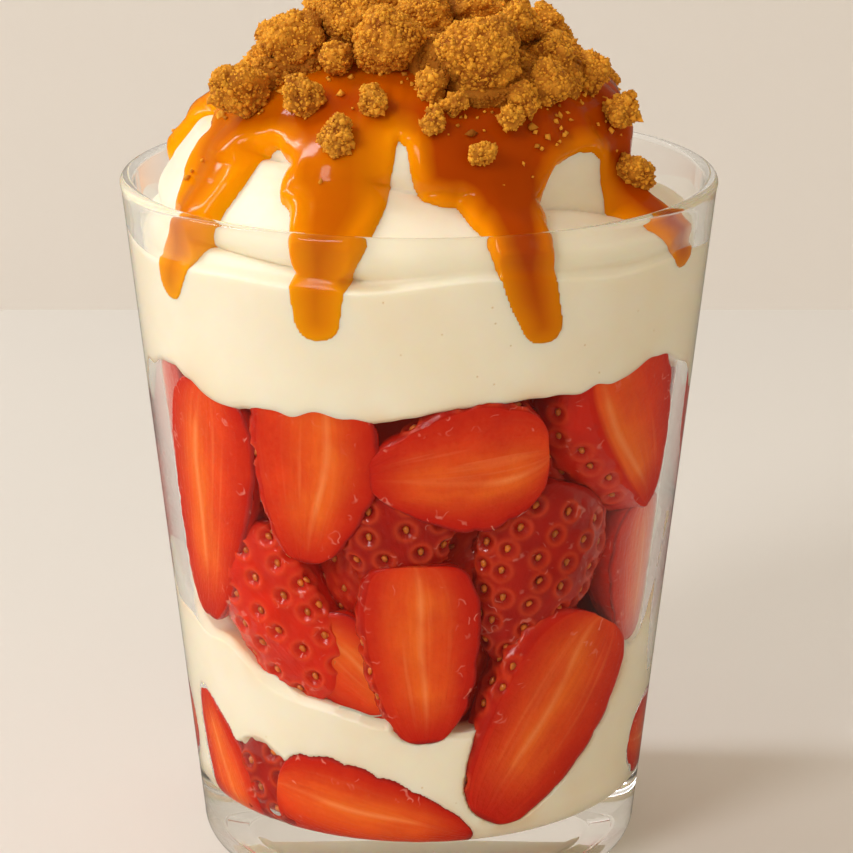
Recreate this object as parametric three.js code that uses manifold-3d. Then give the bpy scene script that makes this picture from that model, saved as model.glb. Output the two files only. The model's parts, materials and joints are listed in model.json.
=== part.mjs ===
// A layered dessert in a clear tapered tumbler: strawberries and cream in two layers, a piped swirl of
// cream above the rim, a sheet of caramel that runs down in drips, and a heap of biscuit crumble on top.
// Millimetres, +Z up, origin in the middle of the tumbler's foot. The front of the dessert faces -Y, and
// angles are degrees from the front, growing to the right as seen from the front.
import * as THREE from "three";
import { mergeVertices } from "three/addons/utils/BufferGeometryUtils.js";
import Module from "manifold-3d";

const wasm = await Module();
wasm.setup();

// Driving dimensions of the tumbler
const GLASS_HEIGHT = 101;
const RIM_RADIUS = 42.5;
const TAPER = 0.1055; // outer radius lost for each millimetre down
const WALL_AT_RIM = 2.0;
const WALL_AT_FLOOR = 2.6;
const FLOOR_HEIGHT = 9.7;
const FLOOR_CORNER = 4.5; // inside corner between wall and floor
const FOOT_CORNER = 4.0; // outside corner between wall and foot
const PUNT_RADIUS = 22; // hollow under the foot
const PUNT_HEIGHT = 1.1;
const GLASS_SIDES = 42;

// Driving dimensions of the filling
const GAP = 0.3; // left between touching pieces
const CONTACT_HEIGHT = 92.4; // where the top cream leaves the wall
// The piped dome from its top down to its base: [radius, height]
const DOME_PROFILE = [
  [0, 120], [11, 119.1], [18.5, 117], [24.5, 113.8], [28, 110.6], [30, 107.6], [31.2, 104.6], [33.4, 101.8],
  [36.6, 99.2], [38.4, 96.6], [38.8, 94],
];
const DOME_LEAN = 1.6; // how much fuller the dome's middle is on the left than on the right
const LEAN_FROM = 97;
const LEAN_TO = 112;
const LEAN_FADE = 5;
const SWIRL_PITCH = 11.3; // rise of the piped coil in one turn
const SWIRL_START = 91.3;
const SWIRL_TILT = 2; // how much higher the coil lies in front than at the sides
const SWIRL_DEPTH = 3;
const SWIRL_TOP = 116; // the creases fade out up to here
const SWIRL_FADE = 6;
const CREAM_SIDES = 36;
const LAYER_RINGS = [0.42, 0.7]; // shares of the radius at which the layers' faces have a ring
const CORE_GAP = 1; // between the two creams and the berries packed in the middle
const CORE_LUMPS = 0.035; // share of the radius by which their outside is lumpy
const CARAMEL_THICKNESS = 1.7;
const DRIP_GAP = 0.5; // between the drips and the cream
const DRIP_TURN = 6; // height over which a drip goes from the wall to the dome
const SHEET_ROOT = 1.8; // how far the sheet reaches in before the cream cuts it back
const CARAMEL_SIDES = 48;

// Height at the wall of the top cream's lower edge: [angle, height]
const TOP_CREAM_EDGE = [
  [-88, 68], [-76, 75], [-62, 77], [-46, 74.5], [-22, 75], [-14, 74], [6, 76.5], [35, 77], [60, 79.5],
  [72, 76], [84, 70], [100, 75], [126, 78], [152, 75], [180, 78], [208, 75], [236, 78], [256, 74],
];
// Height at the wall of the lower cream's upper edge: [angle, height]
const LOWER_CREAM_EDGE = [
  [-90, 46], [-78, 40], [-52, 37.5], [-40, 34], [-29, 32], [-6, 30], [9, 27.5], [30, 29], [56, 34], [66, 46],
  [76, 54], [92, 44], [116, 35], [140, 31], [168, 34], [196, 30], [226, 35], [250, 38],
];
const TOP_CREAM_MIDDLE = 74;
const LOWER_CREAM_MIDDLE = 32;

// Strawberries against the wall, the ones in front first. theta and z place the middle, turn is 0 with the
// tip down and swings it to the right, setback is the distance back from the wall. A half turns its cut
// face to the wall, and a whole berry its skin.
const BERRIES = [
  { name: "half_upper_left", theta: -25, z: 66, turn: -4, length: 25, width: 19.5 },
  { name: "half_upper_middle", theta: 8.5, z: 68, turn: -84, length: 24, width: 18 },
  { name: "half_upper_right", theta: 51.5, z: 69, turn: 30, length: 27, width: 21.5 },
  { name: "half_big_right", theta: 33, z: 27.6, turn: -33, length: 31.5, width: 22 },
  { name: "half_middle", theta: 0, z: 40, turn: 3, length: 26, width: 18 },
  { name: "whole_left", theta: -37.5, z: 44, turn: 38, length: 26, width: 18, whole: true },
  { name: "slice_left", theta: -54.5, z: 58, turn: -9, length: 35, width: 17, setback: 0.4 },
  { name: "whole_right", theta: 30.5, z: 49.5, turn: -20, length: 27, width: 20.5, whole: true },
  { name: "half_bottom", theta: -12.5, z: 13.8, turn: 78, length: 28, width: 14.5 },
  { name: "half_low_left", theta: -61, z: 17.5, turn: 203, length: 21, width: 13 },
  { name: "whole_low_left", theta: -42.5, z: 14.5, turn: 32, length: 17, width: 12.5, whole: true },
  { name: "half_right_edge", theta: 62.5, z: 46.5, turn: 0, length: 21, width: 14, setback: 0.8 },
  { name: "whole_centre", theta: -5, z: 55, turn: 12, length: 20, width: 18, whole: true, setback: 0.6 },
  { name: "half_left_edge", theta: -75, z: 70.5, turn: -8, length: 20, width: 16, setback: 0.8 },
  { name: "half_tucked", theta: -16, z: 36, turn: 48, length: 19, width: 13, setback: 2.5 },
  { name: "half_back_1", theta: 94, z: 66, turn: 8, length: 27, width: 22 },
  { name: "half_back_2", theta: 131, z: 67, turn: -14, length: 28, width: 22 },
  { name: "whole_back_3", theta: 167, z: 66, turn: 20, length: 27, width: 21, whole: true },
  { name: "half_back_4", theta: 204, z: 67, turn: 80, length: 25, width: 20 },
  { name: "half_back_5", theta: 242, z: 66, turn: -6, length: 27, width: 22 },
  { name: "whole_back_6", theta: 88, z: 40, turn: -24, length: 26, width: 19, whole: true },
  { name: "half_back_7", theta: 119, z: 45, turn: 16, length: 28, width: 20 },
  { name: "whole_back_8", theta: 152, z: 42, turn: -32, length: 28, width: 20, whole: true },
  { name: "half_back_9", theta: 186, z: 44, turn: 12, length: 28, width: 20 },
  { name: "half_back_10", theta: 220, z: 43, turn: -36, length: 28, width: 20 },
  { name: "whole_back_11", theta: 253, z: 45, turn: 22, length: 27, width: 19, whole: true },
  { name: "half_back_12", theta: 94, z: 16.5, turn: 80, length: 26, width: 13 },
  { name: "half_back_13", theta: 148, z: 17.5, turn: -72, length: 26, width: 14 },
  { name: "whole_back_14", theta: 202, z: 17, turn: 70, length: 24, width: 13, whole: true },
  { name: "half_back_15", theta: 256, z: 17, turn: -78, length: 26, width: 14 },
];

const WHOLE_DEPTH = 0.84; // of a whole berry, against its width
const HALF_DEPTH = 0.5;
const WHOLE_ROUNDING = 0.42; // share of a whole berry's depth that rounds off towards the wall
const SHADOW = 3; // how far into the wall the space kept for a berry reaches

// Height of the caramel sheet's lower edge on the dome: [angle, height]
const CARAMEL_EDGE = [
  [-84, 108], [-74, 105.5], [-65, 101.5], [-52, 101.5], [-45, 104.5], [-40, 107], [-35.5, 106.6], [-31, 102],
  [-20, 100.5], [-9.5, 102], [-6, 108.5], [-3.6, 109.8], [-2, 105], [0, 103.6], [9, 103], [13, 100.5],
  [29, 100.5], [34, 104], [42, 106], [51, 106.4], [57, 105], [61, 101.5], [73, 100], [82, 106],
  [96, 102], [112, 107.5], [130, 102], [148, 108], [166, 103], [184, 107.5], [202, 102], [220, 107],
  [240, 103], [258, 107.5], [268, 104.5],
];
// Drips of caramel from the sheet down inside the wall: [angle, height, half width]
const DRIPS = [
  [[-55, 105, 7.2], [-53.5, 99.8, 6.2], [-54.5, 94.5, 4.2], [-57.2, 87.8, 2.7]],
  [[-20, 106, 7.2], [-18.3, 100.3, 6.1], [-19.5, 94, 4.2], [-20, 85.9, 3.1]],
  [[22, 105, 6.8], [20.8, 99.6, 5.2], [21.5, 93, 3.8], [24.3, 85, 2.9]],
  [[60, 105, 5.0], [64, 99.2, 5.4], [63.5, 95.6, 4.1], [63.2, 91.5, 3.0]],
  [[96, 105, 5.5], [96, 99, 4.2], [95, 92, 2.8]],
  [[130, 105, 6.0], [130, 99, 4.6], [132, 88, 2.9]],
  [[166, 105, 5.0], [166, 99, 3.8], [165, 94, 2.6]],
  [[202, 105, 6.0], [202, 99, 4.6], [200, 86.5, 2.9]],
  [[240, 105, 5.5], [240, 99, 4.2], [241, 91, 2.8]],
  [[270, 105, 4.5], [270, 102, 3.2], [270, 98.5, 2.3]],
];

// How far out the bed of fine crumbs under the heap reaches: [angle, distance]
const HEAP_EDGE = [
  [-120, 20], [-90, 22], [-72, 24.5], [-56, 26], [-46, 21], [-36, 15], [-12, 14.5], [0, 19], [20, 24.5],
  [45, 25.5], [70, 24], [95, 21], [150, 21], [195, 20],
];
const HEAP_DEPTH = 2.6; // of the bed over the caramel
// Chunks of biscuit in the heap: [angle, distance out, height, radius]
const FRONT_CHUNKS = [
  [-55, 30, 116.2, 4.4], [-54, 21, 121.8, 4.8], [-42, 14, 124.3, 5.4], [-33, 20.6, 120.4, 2.9],
  [-12.4, 18.4, 122.2, 5.4], [20.5, 23, 120.6, 6.0], [4, 23.9, 117.9, 2.7], [10.2, 26.8, 115.5, 2.0],
  [43, 25.4, 116.8, 3.4], [31.5, 26.8, 115.4, 2.7], [69, 25.2, 116.4, 3.4], [56, 22, 119.4, 3.8],
  [31, 21.5, 123.4, 3.2], [50.5, 17.5, 124.2, 3.5], [56, 9, 124.3, 4.8], [7, 8.5, 124.3, 4.6],
  [120, 3.5, 127, 5.2], [-130, 6.5, 125.8, 5.0], [110, 11, 124, 4.6], [-95, 12, 123.3, 4.8],
];
// More chunks fill the rest of the heap, on a golden-angle spiral
const FILLER_CHUNKS = 42;
const FILLER_REACH = 24;
const FILLER_MARGIN = 3; // between the middle of the outermost ones and the bed's edge
const GOLDEN_ANGLE = 137.5;
// Chunks that lie apart on the caramel: [angle, height, radius]
const LOOSE_CHUNKS = [
  [-36.2, 113.2, 2.9], [-20.6, 109.9, 2.6], [-13.7, 113.7, 2.1], [4, 112.2, 1.8], [25.5, 111.9, 1.8],
  [15.9, 108.6, 1.9], [68, 110.3, 2.6], [70, 103.1, 2.9], [118, 109.5, 3.0], [172, 110.5, 2.6],
  [228, 109, 3.1],
];

const DEGREE = Math.PI / 180;

// Number helpers
const mix = (a, b, t) => a + (b - a) * t;
const clamp = (x) => Math.min(1, Math.max(0, x));
const smooth = (t) => t * t * (3 - 2 * t);
const fraction = (x) => x - Math.floor(x);
const scatter = (i, salt) => fraction(Math.sin(i * 12.9898 + salt * 78.233) * 43758.5453);

// Value at an angle of a closed curve that runs smoothly through [angle, value] knots
function roundCurve(knots, degrees) {
  const start = knots[0][0];
  const angle = start + ((((degrees - start) % 360) + 360) % 360);
  const closed = [...knots, [start + 360, knots[0][1]]];
  const i = closed.findIndex(([knot]) => knot > angle);
  const [from, low] = closed[i - 1];
  const [to, high] = closed[i];
  return mix(low, high, smooth((angle - from) / (to - from)));
}

// Point at an angle, distance from the axis and height
function polar(degrees, radius, z) {
  const angle = degrees * DEGREE;
  return new THREE.Vector3(radius * Math.sin(angle), -radius * Math.cos(angle), z);
}

// A ring of points round the axis, its radius and height given for each angle
function ringAt(count, place) {
  return Array.from({ length: count }, (_, k) => {
    const degrees = (k * 360) / count;
    return polar(degrees, ...place(degrees));
  });
}

// A closed geometry as a manifold solid with its faces pointing out
function solidOf(geometry) {
  geometry.deleteAttribute("normal");
  geometry.deleteAttribute("uv");
  const merged = mergeVertices(geometry, 1e-4);
  const vertProperties = merged.attributes.position.array;
  const triVerts = new Uint32Array(merged.index.array);
  const solid = new wasm.Manifold(new wasm.Mesh({ numProp: 3, vertProperties, triVerts }));
  if (solid.volume() > 0) return solid;
  return new wasm.Manifold(new wasm.Mesh({ numProp: 3, vertProperties, triVerts: triVerts.reverse() }));
}

// Solid from a stack of closed rings, with a point at each end
function ringSolid(firstPoint, rings, lastPoint) {
  const count = rings[0].length;
  const points = [firstPoint, ...rings.flat(), lastPoint];
  const at = (ring, k) => 1 + ring * count + (k % count);
  const index = [];
  for (let k = 0; k < count; k++) {
    index.push(0, at(0, k + 1), at(0, k));
    for (let ring = 0; ring + 1 < rings.length; ring++) {
      index.push(at(ring, k), at(ring, k + 1), at(ring + 1, k));
      index.push(at(ring, k + 1), at(ring + 1, k + 1), at(ring + 1, k));
    }
    index.push(at(rings.length - 1, k), at(rings.length - 1, k + 1), points.length - 1);
  }
  const geometry = new THREE.BufferGeometry().setFromPoints(points);
  geometry.setIndex(index);
  return solidOf(geometry);
}

// The largest body of a solid as a named mesh
function meshOf(solid, name, material) {
  const body = solid.decompose().reduce((a, b) => (b.volume() > a.volume() ? b : a));
  const { vertProperties, triVerts } = body.getMesh();
  const geometry = new THREE.BufferGeometry();
  geometry.setAttribute("position", new THREE.BufferAttribute(vertProperties, 3));
  geometry.setIndex(new THREE.BufferAttribute(triVerts, 1));
  geometry.computeVertexNormals();
  const mesh = new THREE.Mesh(geometry, material);
  mesh.name = name;
  return mesh;
}

// Radii of the tumbler at a height
const outerRadius = (z) => RIM_RADIUS - TAPER * (GLASS_HEIGHT - z);
const upTheWall = (z) => (z - FLOOR_HEIGHT) / (GLASS_HEIGHT - FLOOR_HEIGHT);
const innerRadius = (z) => outerRadius(z) - mix(WALL_AT_FLOOR, WALL_AT_RIM, upTheWall(z));
const fillRadius = (z) => innerRadius(z) - GAP;

// Points of a rounded corner of a profile, between two angles
function corner(x, y, radius, from, to, steps) {
  return Array.from({ length: steps + 1 }, (_, i) => {
    const angle = mix(from, to, i / steps) * DEGREE;
    return [x + radius * Math.cos(angle), y + radius * Math.sin(angle)];
  });
}

// The tumbler: a punt under the foot, a rounded foot and lip, and a thick floor
function tumbler() {
  const lip = WALL_AT_RIM / 2;
  const floorCorner = FLOOR_HEIGHT + FLOOR_CORNER;
  const profile = [
    [0, PUNT_HEIGHT],
    [PUNT_RADIUS - 2, PUNT_HEIGHT],
    [PUNT_RADIUS, 0],
    ...corner(outerRadius(FOOT_CORNER) - FOOT_CORNER, FOOT_CORNER, FOOT_CORNER, -90, 0, 3),
    ...corner(RIM_RADIUS - lip, GLASS_HEIGHT - lip, lip, 0, 180, 4),
    ...corner(innerRadius(floorCorner) - FLOOR_CORNER, floorCorner, FLOOR_CORNER, 0, -90, 3),
    [0, FLOOR_HEIGHT],
  ].map(([r, z]) => new THREE.Vector2(r, z));
  return new THREE.LatheGeometry(profile, GLASS_SIDES).rotateX(Math.PI / 2);
}

// Foot of the filling, rounded off in the tumbler's corner, as [radius, height]
const FILL_FOOT = FLOOR_HEIGHT + GAP;
const footCorner = corner(
  fillRadius(FILL_FOOT + FLOOR_CORNER) - FLOOR_CORNER, FILL_FOOT + FLOOR_CORNER, FLOOR_CORNER, -90, 0, 3,
);

// Room above the tumbler's floor, which rounds off the berries that lie in the corner
function roomAboveFloor() {
  const top = FILL_FOOT + FLOOR_CORNER + GAP;
  const profile = [...footCorner, [RIM_RADIUS, top], [RIM_RADIUS, GLASS_HEIGHT]];
  const rings = profile.map((place) => ringAt(GLASS_SIDES, () => place));
  return ringSolid(polar(0, 0, FILL_FOOT), rings, polar(0, 0, GLASS_HEIGHT));
}

// Half width of a strawberry, from 0 at the stalk end to 1 at the tip
const berryOutline = (u) => Math.pow(Math.sin(Math.PI * Math.pow(u, 0.62)), 0.8);

// A strawberry shaped round the wall. grow widens it on all sides, and shadow takes it forward into the wall.
function berrySolid(berry, grow = 0, shadow = false) {
  const lengthwise = 5;
  const skinSteps = 4;
  const faceSteps = 3;
  const depth = berry.width * (berry.whole ? WHOLE_DEPTH : HALF_DEPTH);
  const rounding = berry.whole ? WHOLE_ROUNDING : 0;
  const waist = GAP + (berry.setback ?? 0) + depth * rounding;
  const turn = berry.turn * DEGREE;
  const place = (u, side, deep) => {
    const along = (u - 0.5) * (berry.length + 2 * grow);
    const across = along * Math.sin(turn) + side * Math.cos(turn);
    const z = berry.z - along * Math.cos(turn) + side * Math.sin(turn);
    return polar(berry.theta + across / innerRadius(berry.z) / DEGREE, innerRadius(z) - deep, z);
  };
  const rings = [];
  for (let i = 1; i < lengthwise; i++) {
    const u = Math.pow(i / lengthwise, 1.15);
    const half = (berryOutline(u) * berry.width) / 2 + grow;
    const arc = (steps, sign, bulge) =>
      Array.from({ length: steps }, (_, k) => {
        const angle = (k / steps) * Math.PI;
        return place(u, sign * half * Math.cos(angle), waist + sign * bulge * Math.sin(angle));
      });
    const skin = arc(skinSteps, 1, depth * (1 - rounding) * berryOutline(u) + grow);
    const face = shadow
      ? [place(u, -half, waist), place(u, -half, -SHADOW), place(u, half, -SHADOW)]
      : arc(faceSteps, -1, depth * rounding * berryOutline(u) + grow);
    rings.push([...skin, ...face]);
  }
  const spare = shadow ? 0.06 : 0; // share of the length by which the kept space is longer
  const ends = waist + GAP / 2;
  return ringSolid(place(-spare, 0, ends), rings, place(1 + spare, 0, ends));
}

// The piped dome's profile, from 0 at its top to 1 at its base
const DOME_TOP = DOME_PROFILE[0][1];
const domeCurve = new THREE.SplineCurve(DOME_PROFILE.map(([radius, z]) => new THREE.Vector2(radius, z)));

// How far down the profile a point of it first passes a test
function wayDown(isPassed) {
  let from = 0;
  let to = 1;
  for (let i = 0; i < 20; i++) {
    const middle = (from + to) / 2;
    if (isPassed(domeCurve.getPoint(middle))) to = middle;
    else from = middle;
  }
  return to;
}
const downAtHeight = (z) => wayDown((point) => point.y <= z);
const downAtRadius = (radius) => wayDown((point) => point.x >= radius);

// How far the coil of cream bulges out, 0 in the crease between two turns
function coilBulge(degrees, z) {
  const start = SWIRL_START + SWIRL_TILT * Math.cos(degrees * DEGREE);
  const turn = fraction((z - start) / SWIRL_PITCH + degrees / 360);
  return Math.sqrt(4 * turn * (1 - turn));
}

// Radius and height on the cream at an angle and a way down, pushed out by lift, with creases of a strength
function onCream(degrees, down, lift, crease = 1) {
  const { x: radius, y: z } = domeCurve.getPoint(down);
  const along = domeCurve.getTangent(down);
  const leaning = clamp((z - LEAN_FROM) / LEAN_FADE) * clamp((LEAN_TO - z) / LEAN_FADE);
  const lean = -DOME_LEAN * Math.sin(degrees * DEGREE) * leaning;
  const coil = SWIRL_DEPTH * crease * clamp((SWIRL_TOP - z) / SWIRL_FADE) * (coilBulge(degrees, z) - 0.8);
  const out = lift + lean + coil;
  return [radius - along.y * out, z + along.x * out];
}
const within = ([radius, z]) => [Math.min(radius, fillRadius(z)), z];

const topCreamBottom = (degrees, share) =>
  mix(TOP_CREAM_MIDDLE, roundCurve(TOP_CREAM_EDGE, degrees), smooth(share));
const lowerCreamTop = (degrees, share) =>
  mix(LOWER_CREAM_MIDDLE, roundCurve(LOWER_CREAM_EDGE, degrees), smooth(share));

// A ring of the top cream's lower face or of the lower cream's upper face, moved up by lift
const topFace = (share, lift) =>
  ringAt(CREAM_SIDES, (a) => [innerRadius(TOP_CREAM_MIDDLE) * share, topCreamBottom(a, share) + lift]);
const lowerFace = (share, lift) =>
  ringAt(CREAM_SIDES, (a) => [innerRadius(LOWER_CREAM_MIDDLE) * share, lowerCreamTop(a, share) + lift]);

// Cream above the berries, up the wall and over in a piped dome. grow pushes the dome out.
function topCreamSolid(grow = 0) {
  const rings = LAYER_RINGS.map((share) => topFace(share, 0));
  for (const up of [0, 1]) {
    rings.push(ringAt(CREAM_SIDES, (a) => {
      const z = mix(topCreamBottom(a, 1), CONTACT_HEIGHT + Math.cos(a * DEGREE), up);
      return [fillRadius(z), z];
    }));
  }
  for (const down of [0.98, 0.89, 0.8, 0.71, 0.61, 0.48, 0.25]) {
    rings.push(ringAt(CREAM_SIDES, (a) => within(onCream(a, down, grow))));
  }
  return ringSolid(polar(0, 0, TOP_CREAM_MIDDLE), rings, polar(0, 0, DOME_TOP + grow));
}

// Cream between the two layers of berries and round the lower ones
function lowerCreamSolid() {
  const wall = ringAt(CREAM_SIDES, (a) => [fillRadius(lowerCreamTop(a, 1)), lowerCreamTop(a, 1)]);
  const faces = LAYER_RINGS.map((share) => lowerFace(share, 0)).reverse();
  const foot = footCorner.map((place) => ringAt(CREAM_SIDES, () => place));
  return ringSolid(polar(0, 0, FILL_FOOT), [...foot, wall, ...faces], polar(0, 0, LOWER_CREAM_MIDDLE));
}

// Berries packed in the middle, between the two creams
function coreSolid() {
  const lower = LAYER_RINGS.map((share) => lowerFace(share, CORE_GAP));
  const upper = LAYER_RINGS.map((share) => topFace(share, -CORE_GAP)).reverse();
  const middle = [0.35, 0.7].map((up, row) =>
    lower[1].map((point, i) => {
      const between = point.clone().lerp(upper[0][i], up);
      const lump = 1 + CORE_LUMPS * Math.sin(i + 2 * row);
      return between.multiply(new THREE.Vector3(lump, lump, 1));
    }),
  );
  const foot = polar(0, 0, LOWER_CREAM_MIDDLE + CORE_GAP);
  const top = polar(0, 0, TOP_CREAM_MIDDLE - CORE_GAP);
  return ringSolid(foot, [...lower, ...middle, ...upper], top);
}

// The caramel's sheet over the dome, thinning out at its edge and reaching down into the cream
function caramelSheet(grow) {
  const edge = (a) => downAtHeight(roundCurve(CARAMEL_EDGE, a) - grow);
  const rings = [];
  for (const share of [0.4, 0.75, 0.94]) {
    rings.push(ringAt(CARAMEL_SIDES, (a) => onCream(a, edge(a) * share, CARAMEL_THICKNESS + grow, 0.5)));
  }
  rings.push(ringAt(CARAMEL_SIDES, (a) => onCream(a, edge(a), 0.5 + grow)));
  rings.push(ringAt(CARAMEL_SIDES, (a) => onCream(a, edge(a) * 0.96, -SHEET_ROOT)));
  rings.push(ringAt(CARAMEL_SIDES, (a) => onCream(a, edge(a) * 0.5, -SHEET_ROOT)));
  const over = polar(0, 0, DOME_TOP + CARAMEL_THICKNESS + grow);
  return ringSolid(over, rings, polar(0, 0, DOME_TOP - SHEET_ROOT));
}

// A drip, on the dome at its top and pressed flat against the wall lower down
function dripSolid(drip, grow) {
  const sides = 6;
  const legs = 2 * (drip.length - 1);
  const route = new THREE.CatmullRomCurve3(drip.map(([a, z, half]) => new THREE.Vector3(a, z, half)));
  const placed = (a, z, lift) => {
    const [radius, height] = onCream(a, downAtHeight(z), 0, 0.5);
    const share = clamp((z - CONTACT_HEIGHT) / DRIP_TURN);
    const spot = [mix(fillRadius(z) - 0.5, radius, smooth(share)) + lift, mix(z, height, share)];
    return polar(a, ...(grow > 0 ? spot : within(spot)));
  };
  const rings = [];
  for (let i = 1; i < legs; i++) {
    const { x: a, y: z, z: half } = route.getPoint(i / legs);
    const width = (half + grow) * (i === legs - 1 ? 0.75 : 1);
    rings.push(Array.from({ length: sides }, (_, k) => {
      const angle = (k / sides) * 2 * Math.PI;
      const across = (width * Math.cos(angle)) / innerRadius(z) / DEGREE;
      return placed(a + across, z, (CARAMEL_THICKNESS + grow) * Math.sin(angle));
    }));
  }
  const top = route.getPoint(0);
  const tip = route.getPoint(1);
  return ringSolid(placed(top.x, top.y + grow, 0), rings, placed(tip.x, tip.y - grow, -0.5));
}

const allDrips = (grow) =>
  DRIPS.map((drip) => dripSolid(drip, grow)).reduce((solid, drip) => solid.add(drip));

// An irregular chunk of biscuit
function chunkSolid(centre, radius, salt) {
  const geometry = new THREE.IcosahedronGeometry(1, radius > 5.3 ? 1 : 0);
  geometry.deleteAttribute("normal");
  geometry.deleteAttribute("uv");
  const merged = mergeVertices(geometry, 1e-3);
  const position = merged.attributes.position;
  const point = new THREE.Vector3();
  for (let i = 0; i < position.count; i++) {
    point.fromBufferAttribute(position, i).multiplyScalar(radius * mix(0.86, 1.16, scatter(i + 1, salt)));
    point.applyAxisAngle(new THREE.Vector3(0.3, 0.2, 0.93).normalize(), salt).add(centre);
    position.setXYZ(i, point.x, point.y, point.z);
  }
  return solidOf(merged);
}

// The bed of fine crumbs that the heaped chunks stand in, sunk a little in the caramel
function crumbBed() {
  const sides = 24;
  const upper = CARAMEL_THICKNESS + HEAP_DEPTH;
  const layers = [[0.5, 0.6], [0.95, 0.6], [1, CARAMEL_THICKNESS + 0.8], [0.88, upper], [0.45, upper]];
  const rings = layers.map(([share, lift]) =>
    ringAt(sides, (a) => onCream(a, downAtRadius(roundCurve(HEAP_EDGE, a) * share), lift, 0.5)),
  );
  return ringSolid(polar(0, 0, DOME_TOP + 0.6), rings, polar(0, 0, DOME_TOP + upper));
}

// Chunks that fill the heap where none is placed by eye, on the bed and within its edge
function fillerChunks() {
  const chunks = [];
  for (let i = 0; i < FILLER_CHUNKS; i++) {
    const angle = (i * GOLDEN_ANGLE) % 360;
    const out = FILLER_REACH * Math.sqrt((i + 0.5) / FILLER_CHUNKS);
    const radius = mix(5.4, 3.4, out / FILLER_REACH) * mix(0.85, 1.15, scatter(i, 3));
    const [far, z] = onCream(angle, downAtRadius(out), CARAMEL_THICKNESS + radius * 0.8, 0);
    const centre = polar(angle, far, z);
    const isTaken = FRONT_CHUNKS.some(
      ([a, r, height, size]) => polar(a, r, height).distanceTo(centre) < 0.85 * (size + radius),
    );
    if (!isTaken && out < roundCurve(HEAP_EDGE, angle) - FILLER_MARGIN) chunks.push([angle, far, z, radius]);
  }
  return chunks;
}

function heapSolid() {
  return [...FRONT_CHUNKS, ...fillerChunks()].reduce(
    (heap, [angle, out, z, radius], i) => heap.add(chunkSolid(polar(angle, out, z), radius, i + 1)),
    crumbBed(),
  );
}

// Materials
const material = (color, roughness, extra = {}) =>
  new THREE.MeshStandardMaterial({ color, roughness, metalness: 0, ...extra });
const glassMaterial = material(0xdfe6e2, 0.03, { transparent: true, opacity: 0.3 });
const creamMaterial = material(0xf4e8d0, 0.45);
const berryMaterial = material(0xc8281a, 0.3);
const coreMaterial = material(0x8c1410, 0.35);
const caramelMaterial = material(0xc06408, 0.12);
const biscuitMaterial = material(0xb87430, 0.9);

const dessert = new THREE.Group();
const glass = new THREE.Mesh(tumbler(), glassMaterial);
glass.name = "glass";
dessert.add(glass);

// The berries, each cut back from those in front of it and rounded off by the floor
const room = roomAboveFloor();
const isNear = (a, b) => {
  const apart = Math.abs(((a.theta - b.theta + 540) % 360) - 180);
  return apart < 75 && Math.abs(a.z - b.z) < (a.length + b.length) / 2 + 2;
};
BERRIES.forEach((berry, i) => {
  let solid = berrySolid(berry);
  if (berry.z - berry.length / 2 < FLOOR_HEIGHT + FLOOR_CORNER) solid = solid.intersect(room);
  for (const other of BERRIES.slice(0, i)) {
    if (isNear(berry, other)) solid = solid.subtract(berrySolid(other, GAP));
  }
  dessert.add(meshOf(solid, `strawberry_${berry.name}`, berryMaterial));
});

// The creams and the packed berries, cut back from the berries at the wall and from the drips
const berrySpaces = BERRIES.map((berry) => berrySolid(berry, GAP, true));
const berrySpace = berrySpaces.reduce((solid, berry) => solid.add(berry));
const dripSpace = allDrips(DRIP_GAP);
const topCream = topCreamSolid().subtract(berrySpace).subtract(dripSpace);
dessert.add(meshOf(topCream, "cream_top", creamMaterial));
dessert.add(meshOf(lowerCreamSolid().subtract(berrySpace), "cream_lower", creamMaterial));
dessert.add(meshOf(coreSolid().subtract(berrySpace), "strawberry_core", coreMaterial));

// The caramel's sheet, cut back from the cream that it lies on and fused with the drips
const sheet = caramelSheet(0).subtract(topCreamSolid(GAP));
dessert.add(meshOf(sheet.add(allDrips(0)), "caramel", caramelMaterial));
const caramelSpace = caramelSheet(GAP).add(dripSpace);

// The crumble, cut back from the caramel that it lies on
const heap = heapSolid();
dessert.add(meshOf(heap.subtract(caramelSpace), "biscuit_heap", biscuitMaterial));
LOOSE_CHUNKS.forEach(([angle, z, radius], i) => {
  const centre = polar(angle, ...onCream(angle, downAtHeight(z), CARAMEL_THICKNESS + radius * 0.45, 0.5));
  const chunk = chunkSolid(centre, radius, 60 + i).subtract(caramelSpace).subtract(heap);
  dessert.add(meshOf(chunk, `biscuit_chunk_${i + 1}`, biscuitMaterial));
});

export default dessert;
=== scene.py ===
"""A layered strawberry dessert in a clear tumbler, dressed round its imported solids.

Shapes are worked out in millimetres with +Z up and the front towards -Y. Angles are degrees from the
front and grow to the right as seen from the front. Pieces go into the scene in metres.
"""

import functools
import json
import math
from typing import NamedTuple

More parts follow.
